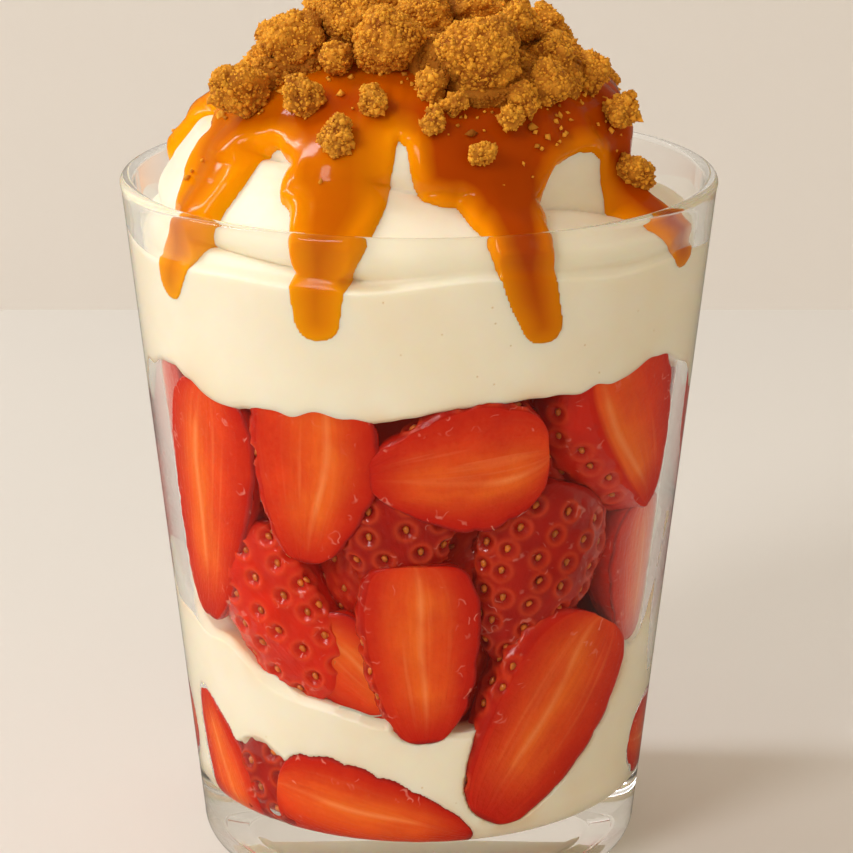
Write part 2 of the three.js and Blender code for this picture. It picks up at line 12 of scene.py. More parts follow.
import bmesh
import bpy
import numpy as np
from bpy.props import FloatProperty, FloatVectorProperty, IntProperty, PointerProperty
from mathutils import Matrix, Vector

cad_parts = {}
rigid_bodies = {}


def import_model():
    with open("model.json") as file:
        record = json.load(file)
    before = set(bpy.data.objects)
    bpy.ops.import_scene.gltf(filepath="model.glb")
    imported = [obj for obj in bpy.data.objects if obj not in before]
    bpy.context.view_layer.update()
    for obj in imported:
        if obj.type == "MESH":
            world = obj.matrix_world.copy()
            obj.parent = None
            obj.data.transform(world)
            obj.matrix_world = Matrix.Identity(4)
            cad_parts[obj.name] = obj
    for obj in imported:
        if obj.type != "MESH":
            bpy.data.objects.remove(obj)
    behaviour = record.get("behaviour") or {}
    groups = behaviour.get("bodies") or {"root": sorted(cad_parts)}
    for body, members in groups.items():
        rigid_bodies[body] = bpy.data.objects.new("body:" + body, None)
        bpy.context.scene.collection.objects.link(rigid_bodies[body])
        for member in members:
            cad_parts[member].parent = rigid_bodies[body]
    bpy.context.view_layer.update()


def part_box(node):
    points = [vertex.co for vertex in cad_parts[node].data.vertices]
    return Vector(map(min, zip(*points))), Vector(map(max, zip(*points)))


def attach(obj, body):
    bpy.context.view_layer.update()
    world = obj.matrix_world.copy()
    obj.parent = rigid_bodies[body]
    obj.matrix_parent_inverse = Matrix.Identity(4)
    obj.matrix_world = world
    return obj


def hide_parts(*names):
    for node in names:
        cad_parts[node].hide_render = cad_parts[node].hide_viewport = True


bl_info = {
    "name": "Strawberries and caramel cream",
    "version": (1, 0, 0),
    "blender": (4, 5, 0),
    "location": "3D View > Sidebar > Dessert",
    "description": "Builds a layered strawberry, cream and caramel dessert in a clear tumbler",
    "category": "Add Mesh",
}

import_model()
GLASS_LOW, GLASS_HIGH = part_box("glass")

MM = 0.001
DEGREE = math.pi / 180
ROOT = "root"

# The tumbler's rounded corners and the hollow under its foot, in millimetres
FLOOR_CORNER = 4.5
FOOT_CORNER = 4.0
PUNT_RADIUS = 22
PUNT_HEIGHT = 1.1

# The filling, in millimetres
# The piped dome from its top down to its base: radius, height
DOME_PROFILE = (
    (0, 120), (11, 119.1), (18.5, 117), (24.5, 113.8), (28, 110.6), (30, 107.6), (31.2, 104.6),
    (33.4, 101.8), (36.6, 99.2), (38.4, 96.6), (38.8, 94),
)
DOME_TOP = DOME_PROFILE[0][1]
DOME_FOOT = 96  # height where the rows on the dome start
COIL_END = 116  # height where the coil has faded out
COIL_FADE = 6
LEAN_FROM = 97  # heights between which the dome is fuller on the left than on the right
LEAN_TO = 112
LEAN_FADE = 5
SLIM_RIGHT = 2.4  # how much slimmer still it is low down on its right
SLIM_FROM = 95
SLIM_TO = 108
SWIRL_START = 91.3
SWIRL_TILT = 2  # how much higher the coil lies in front than at the sides
SWIRL_LEAN = 3.4  # and how much higher on the left
CREAM_REACH = 0.12  # how far cream, berries and caramel press into the wall
BERRY_REACH = 0.26
TOP_CREAM_REACH = 0.4
CARAMEL_REACH = 0.5
TOP_CREAM_MIDDLE = 74
LOWER_CREAM_MIDDLE = 32
COVERED_ROWS = 18  # of points where each cream lies on berries or under them
SOAKED_AND_SHADED = 2  # stain of the cream where it lies on berries or under them: deep red, partly juice from the berries and partly painted shade in the gaps between them
CORE_GAP = 1
CORE_SHARE = 0.68  # of the tumbler's inside radius

# Height at the wall of the top cream's lower edge: angle, height
TOP_CREAM_EDGE = (
    (-88, 68), (-76, 75), (-62, 77), (-46, 74.5), (-22, 75), (-14, 74), (6, 76.5), (35, 77), (60, 79.5),
    (72, 76), (84, 70), (100, 75), (126, 78), (152, 75), (180, 78), (208, 75), (236, 78), (256, 74),
)
# Height at the wall of the lower cream's upper edge: angle, height
LOWER_CREAM_EDGE = (
    (-90, 46), (-78, 40), (-52, 37.5), (-40, 34), (-29, 32), (-6, 30), (9, 27.5), (30, 29), (56, 34),
    (66, 46), (76, 54), (92, 44), (116, 35), (140, 31), (168, 34), (196, 30), (226, 35), (250, 38),
)


class Berry(NamedTuple):
    """A strawberry against the wall. turn is 0 with the tip down and swings it to the right, setback is
    the distance back from the wall, and ripe is 0 for pale orange flesh and 1 for deep red."""

    name: str
    theta: float
    z: float
    turn: float
    length: float
    width: float
    whole: bool = False
    setback: float = 0.0
    ripe: float = 0.5
    rounding: float = 0.32  # share of a whole berry's depth that rounds off towards the wall
    blunt: float = 0.66  # lower is rounder at the tip
    skirt: float = 0.0  # share of a half's width that shows skin, at its left, or right below 0


BERRIES = (
    Berry("half_upper_left", -25, 66, -4, 25, 19.5, ripe=0.55, blunt=0.42, skirt=0.16),
    # its deep red ripeness partly stands in for the shade it lies in: painted shade
    Berry("half_upper_middle", 8.5, 68, -84, 24, 18, ripe=0.75, blunt=0.45, skirt=0.08),
    Berry("half_upper_right", 51.5, 69, 30, 27, 21.5, ripe=0.35, blunt=0.5, skirt=0.34),
    Berry("half_big_right", 33, 27.6, -33, 31.5, 22, ripe=0.6, blunt=0.4, skirt=0.1),
    Berry("half_middle", 0, 40, 3, 26, 18, ripe=0.7, blunt=0.36, skirt=0.12),
    Berry("whole_left", -37.5, 43, 38, 26, 18.5, whole=True, ripe=0.1, rounding=0.13, blunt=0.46),
    Berry("slice_left", -54.5, 58, -9, 35, 17, ripe=0.35, blunt=0.42, skirt=0.06),
    Berry("whole_right", 30.5, 49.5, -20, 27, 20.5, whole=True, ripe=0.85, rounding=0.2, blunt=0.5),
    Berry("half_bottom", -12.5, 13.8, 78, 28, 14.5, ripe=0.5, blunt=0.5),
    Berry("half_low_left", -61, 17.5, 203, 21, 13, ripe=0.25, blunt=0.6),
    Berry("whole_low_left", -42.5, 14.5, 32, 17, 12.5, whole=True, ripe=0.9, rounding=0.12, blunt=0.5),
    Berry("half_right_edge", 62.5, 46.5, 0, 21, 14, setback=0.3, ripe=0.1, blunt=0.5),
    Berry("whole_centre", -5, 55, 12, 20, 18, whole=True, setback=0.2, ripe=0.9, rounding=0.2),
    Berry("half_left_edge", -75, 70.5, -8, 20, 16, setback=0.3, ripe=0.0, blunt=0.6),
    Berry("half_tucked", -16, 36, 48, 19, 13, setback=1.6, ripe=0.1, blunt=0.6),
    Berry("half_back_1", 94, 66, 8, 27, 22, ripe=0.5),
    Berry("half_back_2", 131, 67, -14, 28, 22, ripe=0.4),
    Berry("whole_back_3", 167, 66, 20, 27, 21, whole=True, ripe=0.6),
    Berry("half_back_4", 204, 67, 80, 25, 20, ripe=0.6),
    Berry("half_back_5", 242, 66, -6, 27, 22, ripe=0.4),
    Berry("whole_back_6", 88, 40, -24, 26, 19, whole=True, ripe=0.7),
    Berry("half_back_7", 119, 45, 16, 28, 20, ripe=0.5),
    Berry("whole_back_8", 152, 42, -32, 28, 20, whole=True, ripe=0.6),
    Berry("half_back_9", 186, 44, 12, 28, 20, ripe=0.4),
    Berry("half_back_10", 220, 43, -36, 28, 20, ripe=0.6),
    Berry("whole_back_11", 253, 45, 22, 27, 19, whole=True, ripe=0.5),
    Berry("half_back_12", 94, 16.5, 80, 26, 13, ripe=0.5),
    Berry("half_back_13", 148, 17.5, -72, 26, 14, ripe=0.4),
    Berry("whole_back_14", 202, 17, 70, 24, 13, whole=True, ripe=0.6),
    Berry("half_back_15", 256, 17, -78, 26, 14, ripe=0.5),
)
WHOLE_DEPTH = 0.84  # of a whole berry, against its width
HALF_DEPTH = 0.5
SWELL = 1.05  # how much fuller the berries are than the solids they stand for
CUT_ROUNDING = 0.45  # millimetres by which a cut face rounds back at its rim
UPPER_LAYER = 60  # height above which a berry's middle lies in the upper layer
SEED_SPACING = 4.7
SEED_AXES = (0.46, 0.34, 0.68)  # half a seed's width, thickness and length
SEED_DEPTH = 0.5  # of a seed's middle below the skin
DIMPLE_DEPTH = 0.75
DIMPLE_RADIUS = 0.95
SCALLOP = 0.55  # depth of the notches that the dimples cut in a half berry's outline
DIMPLE_LIP = 0.22  # how far the skin swells round a dimple
LIP_RADIUS = 1.5 * DIMPLE_RADIUS
LIP_WIDTH = 0.38
# Rows and columns of points on a berry
WHOLE_DETAIL = (110, 190)
HALF_DETAIL = (84, 132)
BACK_DETAIL = (56, 88)
PACKED_DETAIL = (36, 52)

# Height of the caramel sheet's lower edge on the dome: angle, height
CARAMEL_EDGE = (
    (-84, 110.5), (-76, 110), (-70, 107.5), (-65, 103), (-52, 103), (-48.5, 105.4), (-45, 107.6),
    (-39, 108.6), (-35.5, 107.6), (-31, 102), (-20, 100.5), (-12.5, 102.5), (-9.3, 107.5), (-5.6, 111),
    (-3, 110.2), (-1.2, 105), (1, 103.8), (9, 103.4), (13, 100.5), (29, 101.5), (33.5, 104.8), (38.5, 107),
    (46, 108), (53, 107.8), (58, 106.4), (62, 104), (72, 103), (79, 107),
    (92, 109), (108, 108), (119, 106), (130, 102), (148, 108), (166, 103), (184, 107.5), (202, 102),
    (220, 107), (240, 103), (254, 104.5), (266, 109),
)
# Drips of caramel from the sheet down inside the wall: angle, height, half width
DRIPS = (
    ((-56.8, 105, 6.2), (-55, 99.8, 5.8), (-54.5, 94.5, 4.2), (-57.2, 87.8, 2.7)),
    ((-20.6, 106, 6.6), (-18.6, 100.3, 6.0), (-19.5, 94, 4.2), (-20, 85.9, 3.1)),
    ((22, 105, 6.0), (21, 99.6, 4.9), (21.5, 93, 3.8), (24.3, 85, 2.9)),
    ((71, 105, 5.0), (66.5, 100.4, 5.0), (64, 95.6, 4.1), (63.2, 91.5, 3.0)),
    ((130, 105, 6.0), (130, 99, 4.6), (132, 88, 2.9)),
    ((166, 105, 5.0), (166, 99, 3.8), (165, 94, 2.6)),
    ((202, 105, 6.0), (202, 99, 4.6), (200, 86.5, 2.9)),
    ((240, 105, 5.5), (240, 99, 4.2), (241, 91, 2.8)),
    ((254, 106, 4.0), (255, 102, 3.2), (256, 98.5, 2.3)),
)

# How far out the bed of fine crumbs under the heap reaches: angle, distance
HEAP_EDGE = (
    (-120, 20), (-90, 22), (-72, 24.5), (-56, 26), (-46, 21), (-36, 15), (-12, 14.5), (0, 19), (20, 24.5),
    (45, 25.5), (70, 24), (95, 21), (150, 21), (195, 20),
)
# Chunks of biscuit in the heap: angle, distance out, height, radius
FRONT_CHUNKS = (
    (-55, 30, 116.2, 4.4), (-54, 21, 121.8, 4.8), (-42, 14, 124.3, 5.4), (-33, 20.6, 120.4, 2.9),
    (-12.4, 18.4, 122.2, 5.4), (20.5, 23, 120.6, 6.0), (4, 23.9, 117.9, 2.7), (10.2, 26.8, 115.5, 2.0),
    (43, 25.4, 116.8, 3.4), (31.5, 26.8, 115.4, 2.7), (69, 25.2, 116.4, 3.4), (56, 22, 119.4, 3.8),
    (31, 21.5, 123.4, 3.2), (50.5, 17.5, 124.2, 3.5), (56, 9, 124.3, 4.8), (7, 8.5, 124.3, 4.6),
    (120, 3.5, 127, 5.2), (-130, 6.5, 125.8, 5.0), (110, 11, 124, 4.6), (-95, 12, 123.3, 4.8),
)
FINE_CHUNKS = (2, 4, 5)  # the largest chunks at the front, by their place in the list
MOST_GRAINS = 24500  # in one piece
SAND_SIZE = 0.74  # of the smaller grains, against the others
GRAIN_DEPTH = 0.04  # of a grain's middle below the chunk's surface
CRUMB_SIZE = 1.4  # of the stray crumbs, against a grain
BED_FOOT = 105  # height above which grains lie on the bed
# the bed of crumbs under the heap is darkened as painted shade
BED_PAINTED_SHADE = 0.22
FILLER_CHUNKS = 42
FILLER_REACH = 24
FILLER_MARGIN = 3  # between the middle of the outermost ones and the bed's edge
GOLDEN_ANGLE = 137.5
# Chunks that lie apart on the caramel: angle, height, radius
LOOSE_CHUNKS = (
    (-36.2, 113.2, 2.9), (-20.6, 109.9, 2.6), (-13.7, 113.7, 2.1), (4, 112.2, 1.8), (25.5, 111.9, 1.8),
    (15.9, 108.6, 1.9), (68, 110.3, 2.6), (70, 103.1, 2.9), (118, 109.5, 3.0), (172, 110.5, 2.6),
    (228, 109, 3.1),
)

# The photograph's camera, in millimetres and degrees
IMAGE_SIZE = 853
AXIS_PIXEL = 419
FOCAL_LENGTH = 134.85
CAMERA_DISTANCE = 446
CAMERA_HEIGHT = 199.3
CAMERA_TILT = 17.03


class TumblerSizes(bpy.types.PropertyGroup):
    """Sizes of the clear tumbler"""

    height: FloatProperty(
        name="Height", description="From the foot to the rim", default=GLASS_HIGH.z, unit="LENGTH")
    rim_radius: FloatProperty(
        name="Rim radius", description="Outside radius at the rim", default=-GLASS_LOW.y, unit="LENGTH")
    taper: FloatProperty(
        name="Taper", description="Radius lost for each unit of height down", default=0.1055)
    wall_at_rim: FloatProperty(
        name="Wall at rim", description="Thickness at the rim", default=0.0020, unit="LENGTH")
    wall_at_floor: FloatProperty(
        name="Wall at floor", description="Thickness at the floor", default=0.0026, unit="LENGTH")
    floor_height: FloatProperty(
        name="Floor", description="Height of the inside floor", default=0.0097, unit="LENGTH")
    sides: IntProperty(
        name="Sides", description="Facets round the tumbler", default=192)


class FillingSizes(bpy.types.PropertyGroup):
    """Sizes of the cream, caramel and crumble"""

    contact_height: FloatProperty(
        name="Contact", description="Height where the cream leaves the wall", default=0.0924,
        unit="LENGTH")
    dome_lean: FloatProperty(
        name="Dome lean", description="How much fuller the dome's middle is on the left than on the right",
        default=0.0016, unit="LENGTH")
    swirl_pitch: FloatProperty(
        name="Swirl pitch", description="Rise of the piped coil in one turn", default=0.0113,
        unit="LENGTH")
    swirl_depth: FloatProperty(
        name="Swirl depth", description="Depth of the creases between the turns", default=0.0030,
        unit="LENGTH")
    caramel_thickness: FloatProperty(
        name="Caramel", description="Thickness of the caramel", default=0.0017, unit="LENGTH")
    heap_depth: FloatProperty(
        name="Crumb bed", description="Depth of the crumbs over the caramel", default=0.0026,
        unit="LENGTH")
    grain: FloatProperty(
        name="Grain", description="Radius of a grain of biscuit", default=0.00027, unit="LENGTH")


def colour_property(name, description, default):
    """A colour that a user may change."""
    return FloatVectorProperty(
        name=name, description=description, default=default, size=3, subtype="COLOR", min=0, max=1)


class DessertColours(bpy.types.PropertyGroup):
    """Colours of the dessert and its stage"""

    cream: colour_property("Cream", "Whipped cream", (0.95, 0.87, 0.725))
    flesh: colour_property("Flesh", "Cut strawberry flesh", (0.84, 0.052, 0.003))
    pale_flesh: colour_property("Pale flesh", "Streaks and core of the flesh", (0.95, 0.30, 0.10))
    skin: colour_property("Skin", "Bright strawberry skin", (0.74, 0.022, 0.005))
    ripe_skin: colour_property("Ripe skin", "Skin of the ripest strawberries", (0.30, 0.005, 0.002))
    seed: colour_property("Seed", "Seeds in the skin", (0.72, 0.17, 0.012))
    thin_caramel: colour_property("Thin caramel", "Caramel at its edge", (1.0, 0.35, 0.0006))
    deep_caramel: colour_property("Deep caramel", "Caramel where it is thick", (0.43, 0.055, 0.0001))
    biscuit: colour_property("Biscuit", "Light side of the crumbs", (1.0, 0.44, 0.04))
    # dark biscuit serves both the darker grains and the painted shade in the crumbs' crevices, gaps and bed
    dark_biscuit: colour_property("Dark biscuit", "Baked side of the crumbs", (0.20, 0.035, 0.003))
    stage: colour_property("Table", "Table under the tumbler", (0.745, 0.72, 0.68))
    wall: colour_property("Wall", "Wall behind the table", (0.82, 0.79, 0.755))


# Number helpers
def clamp(x, low=0.0, high=1.0):
    return np.clip(x, low, high)


def smooth(t):
    """A step that eases in and out."""
    t = clamp(t)
    return t * t * (3 - 2 * t)


def mix(a, b, t):
    return a + (b - a) * t


def scatter(i, salt):
    """A number from 0 to 1 that jumps about with i."""
    return math.sin(i * 12.9898 + salt * 78.233) * 43758.5453 % 1


def cell_random(cell, seed):
    """A number from 0 to 1 for each cell of a lattice."""
    mixed = cell[..., 0] * 73856093 ^ cell[..., 1] * 19349663 ^ cell[..., 2] * 83492791
    mixed = mixed ^ (seed * 26544357 + 12345)
    mixed = (mixed ^ (mixed >> 13)) * 1274126177
    return ((mixed ^ (mixed >> 16)) & 0xFFFFFF) / 0xFFFFFF


def soft_noise(points, size, seed=0):
    """Smooth noise from -1 to 1 with features of a given size."""
    place = np.asarray(points, float) / size
    cell = np.floor(place).astype(np.int64)
    t = smooth(place - cell)
    total = 0
    for corner in np.ndindex(2, 2, 2):
        weight = np.prod(np.where(np.array(corner) == 1, t, 1 - t), axis=-1)
        total = total + weight * cell_random(cell + np.array(corner), seed)
    return 2 * total - 1


def rough_noise(points, size, octaves=3, seed=0):
    """Noise from about -1.5 to 1.5 with finer and finer features."""
    return sum(soft_noise(points, size / 2**k, seed + k) / 2**k for k in range(octaves))


def grain_noise(points, size, seed=0):
    """0 in the middle of a grain and about 1 between grains of a given size."""
    place = np.asarray(points, float) / size
    cell = np.floor(place).astype(np.int64)
    nearest = np.full(place.shape[:-1], 9.0)
    for corner in np.ndindex(3, 3, 3):
        near = cell + np.array(corner) - 1
        centre = near + np.stack([cell_random(near, seed + k) for k in range(3)], axis=-1)
        nearest = np.minimum(nearest, np.linalg.norm(place - centre, axis=-1))
    return nearest


def round_curve(knots, degrees):
    """Value at an angle of a closed curve that runs smoothly through its knots."""
    knots = np.array(knots, float)
    start = knots[0, 0]
    angle = start + np.mod(degrees - start, 360)
    angles = np.append(knots[:, 0], start + 360)
    values = np.append(knots[:, 1], knots[0, 1])
    i = np.clip(np.searchsorted(angles, angle, side="right"), 1, len(angles) - 1)
    t = (angle - angles[i - 1]) / (angles[i] - angles[i - 1])
    return mix(values[i - 1], values[i], smooth(t))


def polar(degrees, radius, z):
    """Points at angles, distances from the axis and heights."""
    angle = np.asarray(degrees) * DEGREE
    x, y, z = np.broadcast_arrays(radius * np.sin(angle), -radius * np.cos(angle), z)
    return np.stack([x, y, z], axis=-1)


def catmull_rom(points, count):
    """Points along a smooth curve through some points."""
    points = np.array(points, float)
    padded = np.vstack([2 * points[0] - points[1], points, 2 * points[-1] - points[-2]])
    made = []
    for t in np.linspace(0, len(points) - 1, count):
        i = min(int(t), len(points) - 2)
        f = t - i
        a, b, c, d = padded[i:i + 4]
        made.append(0.5 * (2 * b + (c - a) * f + (2 * a - 5 * b + 4 * c - d) * f**2
                           + (3 * b - a - 3 * c + d) * f**3))
    return np.array(made)


class Shape:
    """Points in millimetres with faces, and values at the points by name."""

    def __init__(self, points, faces, **values):
        self.points = np.asarray(points, float)
        self.faces = faces
        self.values = values

    @staticmethod
    def joined(shapes):
        offset = 0
        faces = []
        for shape in shapes:
            faces += [np.asarray(block) + offset for block in shape.faces]
            offset += len(shape.points)
        names = shapes[0].values
        values = {name: np.concatenate([shape.values[name] for shape in shapes]) for name in names}
        return Shape(np.concatenate([shape.points for shape in shapes]), faces, **values)


def ring_faces(rows, columns):
    """Quads between rows of points that close round into rings."""
    row = np.arange(rows - 1)[:, None] * columns
    here = np.arange(columns)[None, :]
    there = (here + 1) % columns
    quads = np.stack([row + here, row + there, row + columns + there, row + columns + here], axis=-1)
    return quads.reshape(-1, 4)


def closed_rings(first, rings, last, **values):
    """A closed shape from a stack of rings with a point at each end. Its values are arrays over the
    rings, and the end points take them from the nearest ring."""
    rows, columns = rings.shape[:2]
    points = np.vstack([rings.reshape(-1, 3), [first], [last]])
    here = np.arange(columns)
    there = (here + 1) % columns
    start = np.full(columns, rows * columns)
    top = (rows - 1) * columns
    fans = np.vstack([
        np.stack([start, there, here], axis=-1),
        np.stack([start + 1, top + here, top + there], axis=-1),
    ])
    filled = {}
    for name, value in values.items():
        value = np.broadcast_to(value, (rows, columns))
        filled[name] = np.concatenate([value.ravel(), [value[0].mean(), value[-1].mean()]])
    return Shape(points, [ring_faces(rows, columns), fans], **filled)


def ring_normals(rings):
    """Normals of a stack of rings, facing away from the rings' middles."""
    across = np.roll(rings, -1, axis=1) - np.roll(rings, 1, axis=1)
    normals = np.cross(across, np.gradient(rings, axis=0))
    normals /= np.maximum(np.linalg.norm(normals, axis=-1, keepdims=True), 1e-9)
    away = rings - rings.mean(axis=1, keepdims=True)
    return normals * np.sign(np.sum(normals * away) or 1)


def ball(level):
    """Points and triangles of a unit ball made of triangles."""
    made = bmesh.new()
    bmesh.ops.create_icosphere(made, subdivisions=level, radius=1)
    points = np.array([v.co for v in made.verts], float)
    faces = np.array([[v.index for v in f.verts] for f in made.faces])
    made.free()
    return points, faces


def random_turns(count, rng):
    """Random rotation matrices."""
    a = rng.normal(size=(count, 3))
    b = rng.normal(size=(count, 3))
    x = a / np.linalg.norm(a, axis=1, keepdims=True)
    y = np.cross(x, b)
    y /= np.linalg.norm(y, axis=1, keepdims=True)
    return np.stack([x, y, np.cross(x, y)], axis=1)


# Pieces and their places in the scene
def add_piece(name, shape, finish, nodes, faceted=False):
    """A mesh piece that rides on the body, stands for its nodes and has a finish."""
    mesh = bpy.data.meshes.new(name)
    faces = [face for block in shape.faces for face in block.tolist()]
    mesh.from_pydata(shape.points * MM, [], faces)
    mesh.validate()
    edited = bmesh.new()
    edited.from_mesh(mesh)
    bmesh.ops.recalc_face_normals(edited, faces=edited.faces)
    edited.to_mesh(mesh)
    edited.free()
    for value_name, value in shape.values.items():
        layer = mesh.attributes.new(value_name, "FLOAT", "POINT")
        layer.data.foreach_set("value", np.asarray(value, np.float32))
    if not faceted:
        mesh.shade_smooth()
    mesh.materials.append(finish)
    piece = bpy.data.objects.new(name, mesh)
    bpy.context.scene.collection.objects.link(piece)
    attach(piece, ROOT)
    if nodes:
        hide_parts(*nodes)
    return piece


# Radii of the tumbler, in millimetres
def tumbler():
    return bpy.context.scene.dessert_tumbler


def filling():
    return bpy.context.scene.dessert_filling


def outer_radius(z):
    sizes = tumbler()
    return (sizes.rim_radius - sizes.taper * sizes.height) / MM + sizes.taper * np.asarray(z, float)


def inner_radius(z):
    sizes = tumbler()
    up = (np.asarray(z, float) * MM - sizes.floor_height) / (sizes.height - sizes.floor_height)
    return outer_radius(z) - mix(sizes.wall_at_floor, sizes.wall_at_rim, up) / MM


def inside_radius(z):
    """Inside radius with the rounded corner above the floor."""
    floor = tumbler().floor_height / MM
    middle = floor + FLOOR_CORNER
    start = inner_radius(middle) - FLOOR_CORNER
    rise = clamp(middle - np.asarray(z, float), 0, FLOOR_CORNER)
    return np.where(z < middle, start + np.sqrt(FLOOR_CORNER**2 - rise**2), inner_radius(z))


def seat_in_tumbler(points, reach):
    """Points drawn in where they would go through the rounded corner or the floor."""
    seated = points.copy()
    floor = tumbler().floor_height / MM
    seated[..., 2] = np.maximum(seated[..., 2], floor - reach / 2)
    radius = np.maximum(np.hypot(seated[..., 0], seated[..., 1]), 1e-6)
    limit = inside_radius(seated[..., 2]) + reach
    seated[..., :2] *= np.minimum(1, limit / radius)[..., None]
    return seated


# The piped cream, as a dome with a coil wound round it
class DomeCurve(NamedTuple):
    """Shares of the way down the plain dome, with the radii, heights and outward normals there."""

    shares: np.ndarray
    radii: np.ndarray
    heights: np.ndarray
    out: np.ndarray
    over: np.ndarray


@functools.cache
def dome_curve():
    points = catmull_rom(DOME_PROFILE, 601)
    along = np.gradient(points, axis=0)
    along /= np.linalg.norm(along, axis=1, keepdims=True)
    shares = np.linspace(0, 1, len(points))
    return DomeCurve(shares, points[:, 0], points[:, 1], -along[:, 1], along[:, 0])


def dome_height(down):
    """Height of the plain dome from its top at 0 down to its base at 1."""
    curve = dome_curve()
    return np.interp(down, curve.shares, curve.heights)


def height_at_radius(radius):
    """Height of the plain dome at a distance from its axis."""
    curve = dome_curve()
    return np.interp(radius, curve.radii, curve.heights)


def dome_profile(height):
    """Radius and outward normal of the plain dome at a height. Under its base it goes straight down."""
    curve = dome_curve()
    place = -np.asarray(height, float)
    measures = (curve.radii, curve.out, curve.over)
    return tuple(np.interp(place, -curve.heights, values) for values in measures)


def coil_offset(degrees, height):
    """How far the wound coil stands out from the plain dome, with soft creases between its turns."""
    sizes = filling()
    place = polar(degrees, 40, height)
    drift = 0.045 * soft_noise(place, 16, 5)
    start = SWIRL_START + SWIRL_TILT * np.cos(degrees * DEGREE)
    start = start + SWIRL_LEAN * np.maximum(0, -np.sin(degrees * DEGREE))
    turn = np.mod((height - start) * MM / sizes.swirl_pitch + degrees / 360 + drift, 1)
    bulge = np.sqrt(4 * turn * (1 - turn) + 0.012)
    fade = clamp((COIL_END - height) / COIL_FADE)
    depth = sizes.swirl_depth / MM * (1 + 0.25 * soft_noise(place, 22, 8))
    return depth * fade * (bulge - 0.8) + 0.22 * soft_noise(place, 7, 9)


def dome_lean(degrees, height):
    """How much fuller than round the dome is, which is on its left."""
    leaning = clamp((height - LEAN_FROM) / LEAN_FADE) * clamp((LEAN_TO - height) / LEAN_FADE)
    slim = SLIM_RIGHT * clamp((height - SLIM_FROM) / 3) * clamp((SLIM_TO - height) / 4)
    right = np.sin(degrees * DEGREE)
    return -filling().dome_lean / MM * right * leaning - slim * np.maximum(right, 0) ** 2


def contact_height(degrees):
    """Height where the cream leaves the wall."""
    sway = np.cos(degrees * DEGREE) + 0.7 * np.sin(3 * degrees * DEGREE + 0.6)
    return filling().contact_height / MM + sway + 0.5 * np.sin(7 * degrees * DEGREE)


def on_cream(degrees, height, lift=0.0, crease=1.0):
    """Radius and height on the cream, pushed out by lift, for a height on the plain dome."""
    radius, out, over = dome_profile(height)
    push = lift + dome_lean(degrees, height) + crease * coil_offset(degrees, height)
    away = smooth((height - contact_height(degrees)) / 1.5)
    far = mix(inner_radius(height) + TOP_CREAM_REACH + lift, radius + out * push, away)
    return far, height + over * push * away


def heap_spot(radius, lift):
    """Radius and height over the plain dome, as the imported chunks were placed."""
    height = height_at_radius(radius)
    far, out, over = dome_profile(height)
    return far + out * lift, height + over * lift


def top_cream_bottom(degrees, share):
    return mix(TOP_CREAM_MIDDLE, round_curve(TOP_CREAM_EDGE, degrees), smooth(share))


def lower_cream_top(degrees, share):
    return mix(LOWER_CREAM_MIDDLE, round_curve(LOWER_CREAM_EDGE, degrees), smooth(share))


def juice_stain(points, outside):
    """How stained cream is by the berries, from the distance outside them."""
    patchy = clamp(0.55 + 0.9 * soft_noise(points, 5, 47))
    reach = 0.5 + 1.3 * clamp(0.4 + soft_noise(points, 7, 48))
    return np.exp(-clamp(outside / reach, 0, 9)) * patchy


def top_cream_shape():
    """Cream over the berries, up the wall and over in a piped dome."""
    degrees = np.arange(0, 360, 0.6)
    ripple = 0.9 * rough_noise(polar(degrees, 40, 75), 6, 2, 31)
    rows = []
    for share in np.linspace(0.05, 0.985, COVERED_ROWS):
        z = top_cream_bottom(degrees, share) + ripple * share
        rows.append(polar(degrees, share * inner_radius(z), z))
    edge = top_cream_bottom(degrees, 1) + ripple
    contact = contact_height(degrees)
    for up in np.linspace(0, 1, 26):
        z = mix(edge, contact, up)
        rounding = 0.7 * (1 - smooth((z - edge) / 0.8))
        rows.append(polar(degrees, inner_radius(z) + TOP_CREAM_REACH - rounding, z))
    for up in np.linspace(0.08, 1, 14):
        z = mix(contact, DOME_FOOT, up)
        rows.append(polar(degrees, *on_cream(degrees, z)))
    for down in np.linspace(1, 0.02, 126):
        if dome_height(down) > DOME_FOOT + 0.2:
            rows.append(polar(degrees, *on_cream(degrees, dome_height(down) + 0 * degrees)))
    rings = np.array(rows)
    stain = juice_stain(rings, rings[..., 2] - edge)
    stain[:COVERED_ROWS - 1] = SOAKED_AND_SHADED
    return closed_rings((0, 0, TOP_CREAM_MIDDLE), rings, (0, 0, DOME_TOP), stain=stain)


